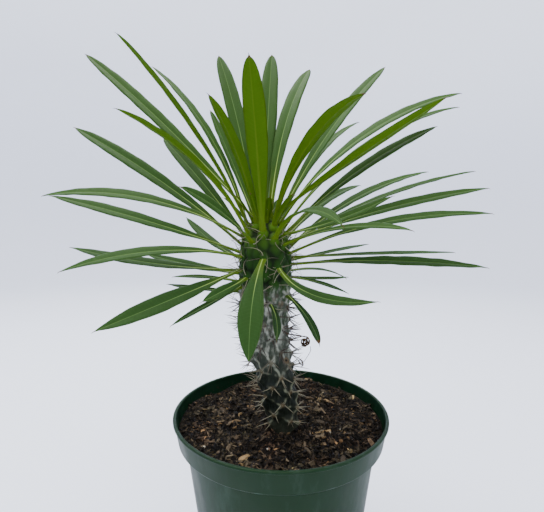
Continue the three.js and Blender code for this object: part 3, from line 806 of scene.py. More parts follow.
def on_soil(draw, reach, clear_of_stem):
    """A place on the soil, off the stem's foot, in millimetres."""
    while True:
        distance = reach * math.sqrt(draw())
        angle = math.tau * draw()
        x, y = distance * math.cos(angle), distance * math.sin(angle)
        if math.hypot(x - STEM_X_AT_SOIL, y - STEM_Y) > clear_of_stem:
            return x, y


def crumb(bm, layer, draw, spot, size, tint, tilt):
    """One angular crumb or shard, lying on the soil in any direction, painted lighter where it lies high and
    darker where it lies low, as painted light and shade among the crumbs.
    """
    x, y = spot
    share = draw() ** 2
    piled = CRUMB_PILE * share
    # painted light and shade: a crumb piled higher is lighter, one lying low darker
    tint = (*((0.6 + 0.8 * share) * c for c in tint[:3]), 1)
    up = soil_height(x, y) + clods(x, y) + piled + 0.25 * size.z / MM
    lie = (turn(math.tau * draw()) @ turn(tilt * (draw() - 0.5), "Y")
           @ turn(math.pi * (draw() - 0.5), "X"))
    matrix = Matrix.Translation((x * MM, y * MM, up * MM)) @ lie @ Matrix.Diagonal((*size, 1))
    if draw() < 0.6:
        made = bmesh.ops.create_cube(bm, size=1, matrix=matrix)
    else:
        made = bmesh.ops.create_icosphere(bm, subdivisions=1, radius=0.55, matrix=matrix)
    rough = 0.4 * min(size.x, size.y * 1.6)
    for vert in made["verts"]:
        vert.co += Vector((draw() - 0.5, draw() - 0.5, draw() - 0.5)) * rough
        vert[layer] = tint


def soil_crumbs(soil):
    """Crumbs, and long shards among them, scattered over the whole surface."""
    draw = seeded(11)
    in_batch = 100
    batches = []
    for start in range(0, soil.crumbs, in_batch):
        bm = bmesh.new()
        layer = bm.verts.layers.float_color.new("tint")
        for _ in range(min(in_batch, soil.crumbs - start)):
            is_shard = draw() < soil.shard_share
            grain, common = (SHARD, soil.shard_length) if is_shard else (CRUMB, soil.crumb_length)
            long = common * (grain.length + grain.lengths * draw() ** 2)
            wide = long * (grain.width + grain.widths * draw())
            high = long * (grain.height + grain.heights * draw())
            spot = on_soil(draw, CRUMB_REACH, CRUMB_CLEAR_OF_STEM)
            tint = crumb_tint(draw, soil, *spot)
            crumb(bm, layer, draw, spot, Vector((long, wide, high)), tint, grain.tilt)
        batches.append(bm)
    return batches


def bark_chips(soil):
    """Larger chips of bark, at the places that they have in the solid soil."""
    draw = seeded(21)
    shade = seeded(5)
    bm = bmesh.new()
    layer = bm.verts.layers.float_color.new("tint")
    made = 0
    while made < CHIP_COUNT:
        distance = CHIP_REACH * math.sqrt(draw())
        angle = math.tau * draw()
        x, y = distance * math.cos(angle), distance * math.sin(angle)
        long = between(*CHIP_LENGTH, draw()) * MM
        about_z, about_x, about_y = math.tau * draw(), 0.7 * (draw() - 0.5), 0.7 * (draw() - 0.5)
        if math.hypot(x - STEM_X_AT_SOIL, y - STEM_Y) < CHIP_CLEAR_OF_STEM:
            continue
        lie = turn(about_y, "Y") @ turn(about_x, "X") @ turn(about_z)
        up = soil_height(x, y) + 0.8
        matrix = (Matrix.Translation((x * MM, y * MM, up * MM)) @ lie
                  @ Matrix.Diagonal((long * 0.8, long * 0.36, long * 0.16, 1)))
        chip = bmesh.ops.create_icosphere(bm, subdivisions=2, radius=1)
        hue = 0.35 + 0.65 * shade()
        pale = smooth(shade(), 0.5, 1)
        tint = [between(a, b, pale) * hue for a, b in zip(soil.bark, soil.chip)]
        for vert in chip["verts"]:
            boxy = Vector([math.copysign(abs(c) ** 0.4, c) / 2 for c in vert.co])
            boxy += 0.3 * noise.noise_vector(boxy * 1.6 + Vector((made, 0, 0)))
            grain = noise.noise(Vector((boxy.x * 2, boxy.y * 12, made)))
            vert.co = matrix @ boxy
            vert[layer] = (*(c * (1 + 0.5 * grain) for c in tint), 1)
        made += 1
    return bm


def fibres(soil):
    """Thin roots and fibres that lie bent on the surface."""
    draw = seeded(33)
    batches = []
    for _ in range(soil.fibres):
        x, y = on_soil(draw, FIBRE_REACH, FIBRE_CLEAR_OF_STEM)
        heading = math.tau * draw()
        long = between(*FIBRE_LENGTH, draw() ** 2)
        bend = FIBRE_BEND * (draw() - 0.5)
        radius = between(*FIBRE_RADIUS, draw() ** 2) * MM
        tone = between(*FIBRE_TONE, draw() ** 2)

        def spot(t):
            way = heading + bend * (t - 0.5)
            px = x + long * (t - 0.5) * math.cos(way)
            py = y + long * (t - 0.5) * math.sin(way)
            inside = min(1, FIBRE_ENDS_AT / math.hypot(px, py))
            px, py = px * inside, py * inside
            arch = FIBRE_ARCH * math.sin(math.pi * t)
            return Vector((px, py, soil_height(px, py) + clods(px, py) + 0.2 + arch)) * MM

        bm, _ = wrapped_grid(5, 7, lambda u, v: spot(v) + Vector((
            0, radius * math.cos(math.tau * u), radius * math.sin(math.tau * u))) * (1 - 0.5 * v))
        weld(bm)
        layer = bm.verts.layers.float_color.new("tint")
        for vert in bm.verts:
            vert[layer] = (*(tone * c for c in soil.bark), 1)
        batches.append(bm)
    return batches


def white_grains():
    """A few white grains of perlite."""
    draw = seeded(44)
    bm = bmesh.new()
    layer = bm.verts.layers.float_color.new("tint")
    for _ in range(WHITE_GRAINS):
        x, y = on_soil(draw, WHITE_GRAIN_REACH, WHITE_GRAIN_CLEAR_OF_STEM)
        size = between(*WHITE_GRAIN_RADIUS, draw() ** 2) * MM
        up = soil_height(x, y) + clods(x, y) + 0.5
        matrix = Matrix.Translation((x * MM, y * MM, up * MM)) @ Matrix.Scale(size, 4)
        grain = bmesh.ops.create_icosphere(bm, subdivisions=2, radius=1, matrix=matrix)
        for vert in grain["verts"]:
            vert.co += vert.normal * noise.noise(vert.co * 700) * size * 0.4
            vert[layer] = (*color(176, 168, 148), 1)
    return bm


def peat_finish(soil):
    finish = Finish("Peat")
    place = finish.place()
    fine = finish.noise(place, 900.0, 5.0, 0.7)
    patches = finish.noise(place, 160.0, 4.0)
    base = finish.blend(finish.ramp(patches, 0.35, 0.65), tuple(0.5 * c for c in soil.peat),
                        tuple(soil.peat))
    flecked = finish.blend(finish.ramp(fine, 0.56, 0.74, 0.0, 0.8), base, tuple(0.8 * c for c in soil.bark))
    finish.set(
        Base_Color=flecked,
        Roughness=finish.ramp(patches, 0.3, 0.7, 0.7, 0.95),
        Specular_IOR_Level=0.1,
        Normal=finish.bump(fine, 0.6 * MM, 0.9),
    )
    return finish.material


def crumb_finish():
    finish = Finish("Crumbs and bark")
    place = finish.place()
    fine = finish.noise(place, 1600.0, 4.0, 0.65)
    tint_of = finish.attribute("tint", "Color")
    finish.set(
        Base_Color=finish.blend(finish.ramp(fine, 0.4, 0.7, 0.0, 0.65), tint_of, color(20, 16, 13)),
        Roughness=finish.ramp(fine, 0.3, 0.7, 0.65, 0.9),
        Specular_IOR_Level=0.15,
        Normal=finish.bump(fine, 0.2 * MM, 0.7),
    )
    return finish.material


class PALM_OT_soil(bpy.types.Operator):
    """Fill the pot with peat, and scatter crumbs, bark chips and fibres over it"""

    bl_idname = "palm.soil"
    bl_label = "Soil"

    def execute(self, context):
        soil = context.scene.palm_soil
        bed = finish_mesh(soil_bed(context.scene.palm_pot), "soil_bed", [peat_finish(soil)])
        dress(bed, "soil", "soil")
        loose = crumb_finish()
        crumbs = join_batches(soil_crumbs(soil), "soil_crumbs", [loose], smooth_faces=False)
        dress(crumbs, "soil")
        larger = [bark_chips(soil), white_grains(), *fibres(soil)]
        chips = join_batches(larger, "bark_chips_and_fibres", [loose], smooth_faces=False)
        dress(chips, "soil")
        return {"FINISHED"}


# Stem

Place = namedtuple("Place", "point out")
Tubercle = namedtuple("Tubercle", "point out side crown")


def spline_point(points, t):
    """A point of the smooth curve through the points, at t from 0 to 1."""
    at = t * (len(points) - 1)
    i = min(int(at), len(points) - 2)
    w = at - i
    p0, p1, p2, p3 = (Vector(points[min(max(k, 0), len(points) - 1)]) for k in range(i - 1, i + 3))
    v0, v1 = (p2 - p0) / 2, (p3 - p1) / 2
    return (2 * p1 - 2 * p2 + v0 + v1) * w**3 + (3 * p2 - 3 * p1 - 2 * v0 - v1) * w**2 + v0 * w + p1


def profile_table(steps):
    """Radius, height and outward direction at even steps along the stem's profile."""
    fine = [spline_point(STEM_PROFILE, i / 2000) for i in range(2001)]
    run = [0.0]
    for a, b in zip(fine, fine[1:]):
        run.append(run[-1] + (b - a).length)
    table = []
    k = 0
    for step in range(steps + 1):
        want = run[-1] * step / steps
        while k < len(fine) - 2 and run[k + 1] < want:
            k += 1
        point = fine[k].lerp(fine[k + 1], (want - run[k]) / (run[k + 1] - run[k]))
        along = (fine[k + 1] - fine[k]).normalized()
        table.append((max(0.0, point.x), point.y, along.y, -along.x))
    return table


PROFILE = profile_table(400)


def profile_at_height(z):
    return next((entry for entry in PROFILE if entry[1] >= z), PROFILE[-1])


def stem_axis_x(z):
    return between(STEM_X_AT_SOIL, STEM_X_AT_CROWN, smooth(z, LEAN_FROM, LEAN_TO))


def stem_place(height, side):
    """Point on the stem at a height and a side, in millimetres, and the way out of the stem."""
    r, z, out_r, out_z = profile_at_height(height)
    c, s = math.cos(math.radians(side)), math.sin(math.radians(side))
    return Place(Vector((stem_axis_x(z) + r * c, STEM_Y + r * s, z)), Vector((out_r * c, out_r * s, out_z)))


def tubercles():
    """One under each leaf, cushions between them where there is room, and below the crown a
    spiral that turns by the golden angle."""
    found = [Tubercle(*stem_place(leaf.foot, leaf.side), leaf.side, True) for leaf in LEAVES]
    side, height = 0.0, float(CUSHION_TOP)
    while height > CROWN_FOOT:
        cushion = Tubercle(*stem_place(height, side), side, True)
        if all((other.point - cushion.point).length > CUSHION_APART for other in found):
            found.append(cushion)
        side = (side + GOLDEN_ANGLE) % 360
        height -= CUSHION_STEP
    side, height = 0.0, CROWN_FOOT - TUBERCLE_SPACING / 2
    while height > SOIL_LEVEL + TUBERCLE_SPACING / 2:
        found.append(Tubercle(*stem_place(height, side), side, False))
        height -= TUBERCLE_SPACING**2 / (math.tau * profile_at_height(height)[0])
        side = (side + GOLDEN_ANGLE) % 360
    return found


def crown_fillers():
    """Smaller cushions in the gaps that the crown's tubercles leave."""
    found = []
    side, height = 0.0, float(FILLER_TOP)
    while height > CROWN_FOOT - 3:
        filler = Tubercle(*stem_place(height, side), side, True)
        if all((other.point - filler.point).length > FILLER_APART for other in TUBERCLES + found):
            found.append(filler)
        side = (side + GOLDEN_ANGLE) % 360
        height -= FILLER_STEP
    return found


TUBERCLES = tubercles()
FILLERS = crown_fillers()
SCAR = stem_place(*SCAR_SPOT)


def tree_of(points):
    tree = kdtree.KDTree(len(points))
    for i, point in enumerate(points):
        tree.insert(point, i)
    tree.balance()
    return tree


def ridge_lines():
    """Lines from each spine cluster to the nearest ones below it, to its left and to its right."""
    lines = []
    for one in TUBERCLES:
        across = sideways(math.radians(one.side))
        for hand in (-1, 1):
            best = None
            for other in TUBERCLES:
                apart = other.point - one.point
                if apart.z < -1 and apart.length < 1.9 * TUBERCLE_SPACING and hand * apart.dot(across) > 0.5:
                    if best is None or apart.length < (best - one.point).length:
                        best = other.point
            if best:
                lines.append((one.point.copy(), best.copy()))
    return lines


class StemSkin:
    """The stem's surface, with how near each point is to a spine cluster, to a ridge and to a
    tubercle's top, and how high it stands on a fold."""

    STEEP_ABOVE = 0.8
    LONG_BELOW = 1.15

    def __init__(self, ridge, wrinkles):
        self.ridge = ridge / MM
        self.wrinkles = wrinkles / MM
        self.cushions = TUBERCLES + FILLERS
        self.tops = tree_of([tubercle.point for tubercle in self.cushions])
        self.lines = ridge_lines()
        self.middles = tree_of([(a + b) / 2 for a, b in self.lines])

    def near_tops(self, point, across, up):
        """Nearness to the tubercles, which fall off steeply above a cluster and slowly below it,
        and are long domes in the crown, and nearness to a cluster itself."""
        top, cluster = 0.0, 0.0
        astray = noise.noise_vector(point / 4) * 1.2
        for _, i, apart in self.tops.find_n(point, 6):
            tubercle = self.cushions[i]
            offset = point - tubercle.point
            along = offset.dot(up)
            if tubercle.crown:
                offset += astray * smooth(apart, 0, 2)
                share = math.hypot(offset.dot(across), DOME_LENGTH_SHARE * offset.dot(up))
                share /= CROWN_TUBERCLE_REACH
                height = 1.0 if i < len(TUBERCLES) else FILLER_HEIGHT
                top = max(top, height * (1.5 * math.sqrt(max(0.0, 1 - share * share)) - 0.5))
            else:
                along /= self.STEEP_ABOVE if along > 0 else self.LONG_BELOW
                top = max(top, 1 - smooth(math.hypot(offset.dot(across), along) / TUBERCLE_REACH))
            cluster = max(cluster, 1 - smooth(apart, 0.5, 2.4))
        return top, cluster

    def near_ridge(self, point):
        """Nearness to the crooked lines that join the clusters."""
        astray = noise.noise_vector(point / 3.5) * 1.3
        near_line = 9.0
        for _, i, _ in self.middles.find_n(point, 7):
            a, b = self.lines[i]
            _, share = geometry.intersect_point_line(point, a, b)
            on_line = a.lerp(b, min(1.0, max(0.0, share)))
            near_line = min(near_line, (point + astray - on_line).length)
        uneven = 0.6 + 0.8 * noise.noise(point / 6 + Vector((9, 0, 0)))
        return math.exp(-((near_line / RIDGE_WIDTH) ** 2)) * uneven

    def at(self, u, v):
        """A point of the skin in metres, and the four numbers that go with it."""
        step = v * (len(PROFILE) - 1)
        low = min(int(step), len(PROFILE) - 2)
        r, z, out_r, out_z = (between(a, b, step - low) for a, b in zip(PROFILE[low], PROFILE[low + 1]))
        c, s = math.cos(math.tau * u), math.sin(math.tau * u)
        point = Vector((stem_axis_x(z) + r * c, STEM_Y + r * s, z))
        out = Vector((out_r * c, out_r * s, out_z))
        across = Vector((-s, c, 0))
        top, cluster = self.near_tops(point, across, out.cross(across))
        on_ridge = max(0.0, self.near_ridge(point))
        below_crown = 1 - smooth(z, CROWN_FOOT - 2, CROWN_FOOT + 12)
        folded = Vector((point.x / FOLD_WIDTH, point.y / FOLD_WIDTH, point.z / FOLD_LENGTH))
        fold = noise.turbulence(folded, 3, True)
        relief = TUBERCLE_RELIEF * top
        rough = self.ridge * on_ridge + CLUSTER_RELIEF * cluster + self.wrinkles * (fold - 0.6)
        relief += rough * below_crown
        above_soil = smooth(z, SMOOTH_BELOW, ROUGH_ABOVE)
        return (point + out * relief * above_soil) * MM, cluster, on_ridge, top, fold


def stem_skin(ridge, wrinkles):
    """The stem's skin with its four patterns kept on its points."""
    skin = StemSkin(ridge, wrinkles)
    names = ("cluster", "ridge", "top", "fold")
    patterns = {}

    def place(u, v):
        point, *found = skin.at(u, v)
        patterns[(round(u, 5), round(v, 5))] = found
        return point

    bm, spots = wrapped_grid(SKIN_COLUMNS, SKIN_ROWS, place, names)
    layers = [bm.verts.layers.float[name] for name in names]
    for vert, (u, v) in spots.items():
        for layer, value in zip(layers, patterns[(round(u, 5), round(v, 5))]):
            vert[layer] = value
    weld(bm)
    return bm


def skin_finish(stem):
    finish = Finish("Stem skin")
    place = finish.place()
    z = finish.split(place)[2]
    high = finish.ramp(z, *GREYER)
    ridge = finish.attribute("ridge")
    mottle = finish.noise(place, 300.0, 5.0, 0.65)
    blotches = finish.noise(finish.stretched(place, (1, 1, 0.6)), 130.0, 3.0, 0.6)
    streaks = finish.noise(finish.stretched(place, (1, 1, 0.22)), 620.0, 4.0, 0.6)

    # pale ridges and upper lips, and dark hollows, all darker near the soil; the ridges and raised folds are
    # painted paler and the hollows darker, partly as painted highlight and shade
    dusty = finish.blend(finish.ramp(z, *DUST_ENDS, 0.16, 0.0), tuple(stem.low_hollows),
                         tuple(stem.low_skin))
    dark = finish.blend(high, dusty, tuple(stem.hollows))
    pale = finish.blend(high, tuple(stem.low_skin), tuple(stem.skin))
    ridge_paleness_and_highlight = finish.math("MULTIPLY", ridge, finish.ramp(high, 0.0, 1.0, 0.9, 0.5))
    by_blotch = finish.math("MULTIPLY", blotches, finish.ramp(high, 0.0, 1.0, 0.15, 0.5))
    fold_highlight_and_shade = finish.math("MULTIPLY", finish.ramp(finish.attribute("fold"), 0.25, 0.9, -0.1, 0.3), high)
    lift = finish.math("ADD", finish.math("ADD", ridge_paleness_and_highlight, by_blotch),
                       finish.math("ADD", fold_highlight_and_shade, finish.math("MULTIPLY", mottle, 0.5)))
    grey = finish.blend(finish.ramp(lift, 0.35, 0.85), dark, pale)
    upper_share = finish.ramp(high, 0.0, 1.0, 0.35, 1.0)
    light = finish.math("MULTIPLY", finish.ramp(streaks, 0.52, 0.72, 0.0, 0.4), upper_share)
    crack = finish.math("MULTIPLY", finish.ramp(streaks, 0.28, 0.44, 0.5, 0.0), upper_share)
    cracked = finish.blend(crack, finish.blend(light, grey, pale), tuple(stem.low_hollows))
    cork = finish.blend(high, tuple(stem.scars), tuple(stem.spine_foot))
    corky = finish.blend(finish.math("MULTIPLY", finish.attribute("cluster"), 0.7), cracked, cork)

    # a band of brown scars and green patches where the last leaves were shed
    band = finish.math("MULTIPLY", finish.ramp(z, *SCARS_BEGIN), finish.ramp(z, *SCARS_END, 1.0, 0.0))
    on_band = finish.math("MULTIPLY", band, finish.ramp(blotches, 0.5, 0.62, 0.0, 0.75))
    scarred = finish.blend(on_band, corky, tuple(stem.scars))
    patches = finish.math("MULTIPLY", finish.ramp(z, *GREEN_PATCHES),
                          finish.ramp(blotches, 0.38, 0.5, 0.85, 0.0))
    patched = finish.blend(patches, scarred, tuple(stem.crown))
    edge = finish.math("ADD", z, finish.math("MULTIPLY", blotches, 0.02))
    # the crown's cushions, painted light on their tops and near black in the grooves between them as painted
    # shade
    on_top = finish.math("ADD", finish.attribute("top"), finish.math("MULTIPLY", mottle, 0.4))
    cushion = finish.blend(finish.ramp(z, *YELLOWER), tuple(stem.crown), tuple(stem.crown_top))
    groove_painted_shade = tuple(0.12 * c for c in stem.crown)
    green = finish.blend(finish.ramp(on_top, 0.3, 1.2, 0.9, 0.0), cushion, groove_painted_shade)
    # a brown scar low on the right, with a near-black spot in it painted as the shade of a hole
    from_scar = finish.node("ShaderNodeVectorMath", {0: place, 1: tuple(SCAR.point * MM)},
                            operation="DISTANCE").outputs["Value"]
    astray = finish.math("MULTIPLY", finish.math("SUBTRACT", mottle, 0.5), 3 * MM)
    ragged = finish.math("ADD", from_scar, astray)
    ringed = finish.blend(finish.ramp(ragged, 1.8 * MM, 3.2 * MM, 0.85, 0.0), patched, tuple(stem.scars))
    holed_with_painted_shade = finish.blend(finish.ramp(ragged, 0.9 * MM, 1.5 * MM, 1.0, 0.0), ringed, (0.004, 0.003, 0.003))
    finish.set(
        Base_Color=finish.blend(finish.ramp(edge, *CROWN_GREEN), holed_with_painted_shade, green),
        Roughness=finish.ramp(mottle, 0.3, 0.7, 0.55, 0.75),
        Specular_IOR_Level=0.1,
        Normal=finish.bump(streaks, 0.4 * MM, 0.6, finish.bump(mottle, 0.5 * MM, 0.5)),
    )
    return finish.material


class PALM_OT_stem(bpy.types.Operator):
    """Wrap a fine skin round the leaning stem, with its tubercles and their ridges"""

    bl_idname = "palm.stem"
    bl_label = "Stem"

    def execute(self, context):
        stem = context.scene.palm_stem
        skin = finish_mesh(stem_skin(stem.ridge, stem.wrinkles), "stem_skin", [skin_finish(stem)])
        dress(skin, "stem", "stem")
        return {"FINISHED"}


# Leaves

def midrib_direction(leaf, s):
    rise = math.radians(leaf.rise + leaf.droop * (0.5 - s))
    heading = math.radians(leaf.heading + leaf.sweep * (s - 0.5))
    return Vector((math.cos(rise) * math.cos(heading), math.cos(rise) * math.sin(heading), math.sin(rise)))


Station = namedtuple("Station", "s point across up")


def station(leaf, s, point):
    """A place along a leaf and its axes, with the blade's roll growing over its first third."""
    along = midrib_direction(leaf, s)
    heading = math.radians(leaf.heading + leaf.sweep * (s - 0.5))
    roll = math.radians(leaf.roll) * smooth(s, 0, 0.35)
    across = Matrix.Rotation(roll, 3, along) @ sideways(heading)
    return Station(s, point, across, along.cross(across))


def leaf_stations(leaf, count):
    """Places along a leaf from its foot on the stem to its tip, in millimetres."""
    steps = 60
    point = stem_place(leaf.foot, leaf.side).point
    found = []
    for step in range(steps + 1):
        if step * count % steps == 0:
            found.append(station(leaf, step / steps, point.copy()))
        point = point + midrib_direction(leaf, (step + 0.5) / steps) * leaf.length / steps
    return found


def blade_width(leaf, s, stalk_width, blunt=None):
    """Width of a blade, in millimetres: a narrow stalk, a long swell and a pointed tip, blunter
    on the upright leaves than on those that hang."""
    stalk = min(stalk_width, leaf.width * STALK_SHARE)
    swell = smooth(s, 0, WIDEST_AT)
    point = 1.0
    if s > WIDEST_AT:
        if blunt is None:
            blunt = smooth(leaf.rise, -10, 62)
        past = (s - WIDEST_AT) / (1 - WIDEST_AT)
        point = max(0.0, 1 - past ** between(2.0, 3.2, blunt)) ** between(0.9, 0.55, blunt)
    return between(stalk, leaf.width, swell) * point


class Blade:
    """One leaf's closed skin: u runs round its thin section and v from its foot to its tip."""

    TIP_FROM = 0.95
    # Share of the width by which the margins are uneven, and over what length, broadly and finely
    BROADLY_UNEVEN = (0.012, 47)
    FINELY_UNEVEN = (0.006, 19)
    RIPPLE_LENGTH = 11
    FLARE = 1.3
    FLARE_LENGTH = 5.5
    GROOVE = 0.22
    # The fine point past the blade's end: how long and thick it is, and how far it bends down
    POINT_LENGTH = 2.4
    POINT_RADIUS = 0.24
    POINT_DROP = 1.1
    # Where along the leaf it is dry, on the brown tipped leaf and on the others
    BROWN_FROM = 0.94
    DRY_FROM = 0.994
    PATTERNS = ("from_foot", "youth", "age", "tone", "dry", "margin")

    def __init__(self, leaf, number, settings):
        self.leaf = leaf
        self.number = number
        self.settings = settings
        self.stalk_width = settings.stalk_width / MM
        self.stations = leaf_stations(leaf, 60)
        draw = seeded(100 + number)
        self.phases = [math.tau * draw() for _ in range(6)]
        self.wave_length = between(17, 27, draw())
        self.wave = settings.wave / MM * between(0.5, 1.4, draw()) * min(1, leaf.width / 12)
        self.tone = draw() * smooth(leaf.foot, 236, 262)

    def along(self, v):
        """Share s of the leaf's length for a row of the grid, closer together near both ends."""
        t = min(1.0, v / self.TIP_FROM)
        return between(t, math.sin(t * math.pi / 2), 0.45)

    def frame(self, s):
        at = s * (len(self.stations) - 1)
        i = min(int(at), len(self.stations) - 2)
        a, b, w = self.stations[i], self.stations[i + 1], at - i
        return a.point.lerp(b.point, w), a.across.lerp(b.across, w), a.up.lerp(b.up, w)

    def half_width(self, s, side):
        phase = self.phases[0 if side < 0 else 1]
        share, run = self.BROADLY_UNEVEN
        uneven = 1 + share * math.sin(phase + math.tau * s * self.leaf.length / run)
        share, run = self.FINELY_UNEVEN
        uneven += share * math.sin(self.phases[2] * side + math.tau * s * self.leaf.length / run)
        blunt = 1.0 if self.number == BROWN_TIPPED else None
        return blade_width(self.leaf, s, self.stalk_width, blunt) / 2 * uneven + self.flare(s)

    def flare(self, s):
        """How much wider and thicker the leaf's foot grows where it joins the stem."""
        return min(self.FLARE, self.leaf.width / 10) * math.exp(-s * self.leaf.length / self.FLARE_LENGTH)

    def section(self, u, s):
        """Where a point of the section lies: across, up, and its share of the half width."""
        turn_round = 2 * u if u < 0.5 else 2 * (1 - u)
        w = 2 * turn_round - 1
        share = math.copysign(abs(w) ** 1.5, w)
        face = 1 if u < 0.5 else -1
        half = self.half_width(s, share)
        stalk = 1 - smooth(s, 0, STALK_END)
        fold = self.settings.fold * smooth(s, 0, STALK_END)
        x = share * half * math.cos(fold)
        soft = math.sqrt(share * share + 0.01) - 0.1
        lift = soft * half * math.sin(fold)
        lift -= 0.16 * half * smooth(s, 0.1, 0.4) * abs(share) ** 4
        if abs(share) < 0.999:
            round_off = (1 - abs(share) ** between(6, 2, stalk)) ** 0.5
        else:
            round_off = 0.0
        blade = self.settings.blade_thickness / MM / 2 * (1 - 0.25 * s)
        stalk_thick = self.settings.stalk_thickness / MM / 2 + 0.5 * self.flare(s)
        thick = between(blade, stalk_thick, stalk) * round_off
        from_rib = x / between(1.1, 0.5, s)
        rib = math.exp(-from_rib * from_rib) * (1 - 0.75 * s) * (1 - stalk)
        if face < 0:
            thick += self.settings.keel / MM * rib
        else:
            thick -= self.GROOVE * rib * min(1.0, round_off)
        side = 3 if share < 0 else 4
        waves = math.sin(self.phases[side] + math.tau * s * self.leaf.length / self.wave_length)
        ripple = self.phases[5] + side + math.tau * s * self.leaf.length / self.RIPPLE_LENGTH
        waves += 0.5 * math.sin(ripple)
        lift += self.wave * waves * share * share * smooth(s, 0.15, 0.4)
        return x, lift + face * thick, share

    def place(self, u, v):
        if v <= 0:
            leaf_foot = stem_place(self.leaf.foot, self.leaf.side)
            inward = (leaf_foot.out + midrib_direction(self.leaf, 0)).normalized()
            point, across, up = self.frame(0)
            x, lift, _ = self.section(u, 0)
            return (point - inward * LEAF_SUNK + across * x + up * lift) * MM
        if v < 1:
            s = self.along(v)
            past = max(0.0, (v - self.TIP_FROM) / (1 - self.TIP_FROM))
        else:
            s, past = 1.0, 1.0
        point, across, up = self.frame(s)
        if past == 0:
            x, lift, _ = self.section(u, min(s, 0.9985))
            return (point + across * x + up * lift) * MM
        # past the blade's end the midrib runs out in a fine point that bends down
        ahead = midrib_direction(self.leaf, 1)
        reach = self.POINT_LENGTH * past
        thin = self.POINT_RADIUS * (1 - past) ** 0.7
        ring = across * math.cos(math.tau * u) * -thin + up * math.sin(math.tau * u) * thin
        return (point + ahead * reach - up * self.POINT_DROP * past * past + ring) * MM

    def mesh(self, columns, rows):
        bm, spots = wrapped_grid(columns, rows, self.place, self.PATTERNS)
        from_foot, youth, age, tone, dry, margin = (bm.verts.layers.float[name] for name in self.PATTERNS)
        dry_from = self.BROWN_FROM if self.number == BROWN_TIPPED else self.DRY_FROM
        for vert, (u, v) in spots.items():
            s = self.along(v)
            vert[from_foot] = s
            vert[youth] = smooth(self.leaf.foot, 245, 279)
            vert[age] = 1 - smooth(self.leaf.foot, 220, 236)
            vert[tone] = self.tone
            vert[dry] = smooth(s, dry_from, dry_from + 0.005)
            vert[margin] = abs(self.section(u, s)[2])
        plan = bm.loops.layers.uv.new("blade")
        for face in bm.faces:
            middle = sum(spots[vert][0] for vert in face.verts) / len(face.verts)
            face.material_index = 0 if middle < 0.5 else 1
            for loop in face.loops:
                u, v = spots[loop.vert]
                s = self.along(v)
                loop[plan].uv = (self.section(u, s)[0] * MM, s * self.leaf.length * MM)
        weld(bm)
        return bm


Face = namedtuple("Face", "green rib foot_rib rib_foot rib_tip rib_share veins gloss specular bump")


def leaf_finish(name, leaf, face):
    """A leaf's skin: faint veins, a pale midrib, a yellow green foot, and a tone for its age."""
    finish = Finish(name)
    plan = finish.node("ShaderNodeUVMap", {}, uv_map="blade").outputs[0]
    across, along, _ = finish.split(plan)
    from_rib = finish.math("ABSOLUTE", across)
    from_foot = finish.attribute("from_foot")
    youth = finish.attribute("youth")
    place = finish.place()
    wander = finish.noise(place, 180.0, 3.0)
    mottle = finish.noise(place, 520.0, 4.0, 0.6)
    broad = finish.noise(place, 38.0, 3.0)

    # side veins leave the midrib at a steep angle and run forward to the margin
    forward = finish.math("SUBTRACT", along, finish.math("MULTIPLY", from_rib, 0.42))
    wavy = finish.math("ADD", forward, finish.math("MULTIPLY", wander, 0.9 * MM))
    beat = finish.math("PINGPONG", wavy, leaf.vein_spacing / 2)
    vein = finish.ramp(beat, 0.0, 0.32 * MM, 1.0, 0.0)
    rib_width = finish.ramp(from_foot, 0.0, 1.0, face.rib_foot * MM, face.rib_tip * MM)
    on_rib = finish.ramp(finish.math("DIVIDE", from_rib, rib_width), 0.5, 1.15, 1.0, 0.0)
    rib_share = finish.ramp(from_foot, 0.25, 1.0, face.rib_share, 0.5 * face.rib_share)

    darker = tuple(0.8 * c for c in face.green)
    green = finish.blend(finish.ramp(mottle, 0.3, 0.7, 0.0, 0.16), face.green, darker)
    fresh = finish.blend(finish.math("MULTIPLY", youth, 0.3), green, tuple(leaf.under))
    patchy = finish.blend(finish.ramp(broad, 0.35, 0.65, 0.0, 0.2), fresh, tuple(1.3 * c for c in face.green))
    age = finish.attribute("age")
    dull = finish.blend(finish.math("MULTIPLY", age, 0.9), patchy, tuple(leaf.old))
    red, yellow_green, blue = face.green
    lighter = (1.4 * red, 1.3 * yellow_green, 1.2 * blue)
    toned = finish.blend(finish.math("MULTIPLY", finish.attribute("tone"), 0.8), dull, lighter)
    veined = finish.blend(finish.math("MULTIPLY", vein, face.veins), toned, face.rib)
    at_foot = finish.math("MULTIPLY", finish.ramp(from_foot, 0.0, 0.34, 0.85, 0.0),
                          finish.ramp(age, 0.0, 1.0, 1.0, 0.15))
    footed = finish.blend(at_foot, veined, tuple(leaf.foot))
    rib = finish.blend(finish.ramp(from_foot, 0.1, 0.55), face.foot_rib, face.rib)
    at_margin = finish.ramp(finish.attribute("margin"), 0.86, 1.0, 0.0, 0.4)
    edged = finish.blend(at_margin, footed, face.rib)
    ribbed = finish.blend(finish.math("MULTIPLY", on_rib, rib_share), edged, rib)
    height = finish.math("ADD", finish.math("MULTIPLY", vein, -1.0), finish.math("MULTIPLY", mottle, 0.6))
    finish.set(
        Base_Color=finish.blend(finish.attribute("dry"), ribbed, tuple(leaf.brown)),
        Roughness=finish.ramp(mottle, 0.3, 0.7, face.gloss, face.gloss + 0.1),
        Normal=finish.bump(height, 0.12 * MM, face.bump),
        Specular_IOR_Level=face.specular,
    )
    return finish.material


def withered_finish(leaf):
    finish = Finish("Withered leaf")
    place = finish.place()
    wrinkles = finish.noise(finish.stretched(place, (1, 1, 0.4)), 600.0, 4.0)
    finish.set(
        Base_Color=finish.blend(finish.ramp(wrinkles, 0.35, 0.7), tuple(0.35 * c for c in leaf.brown),
                                tuple(leaf.brown)),
        Roughness=0.8,
        Specular_IOR_Level=0.1,
        Normal=finish.bump(wrinkles, 0.4 * MM, 0.8),
    )
    return finish.material


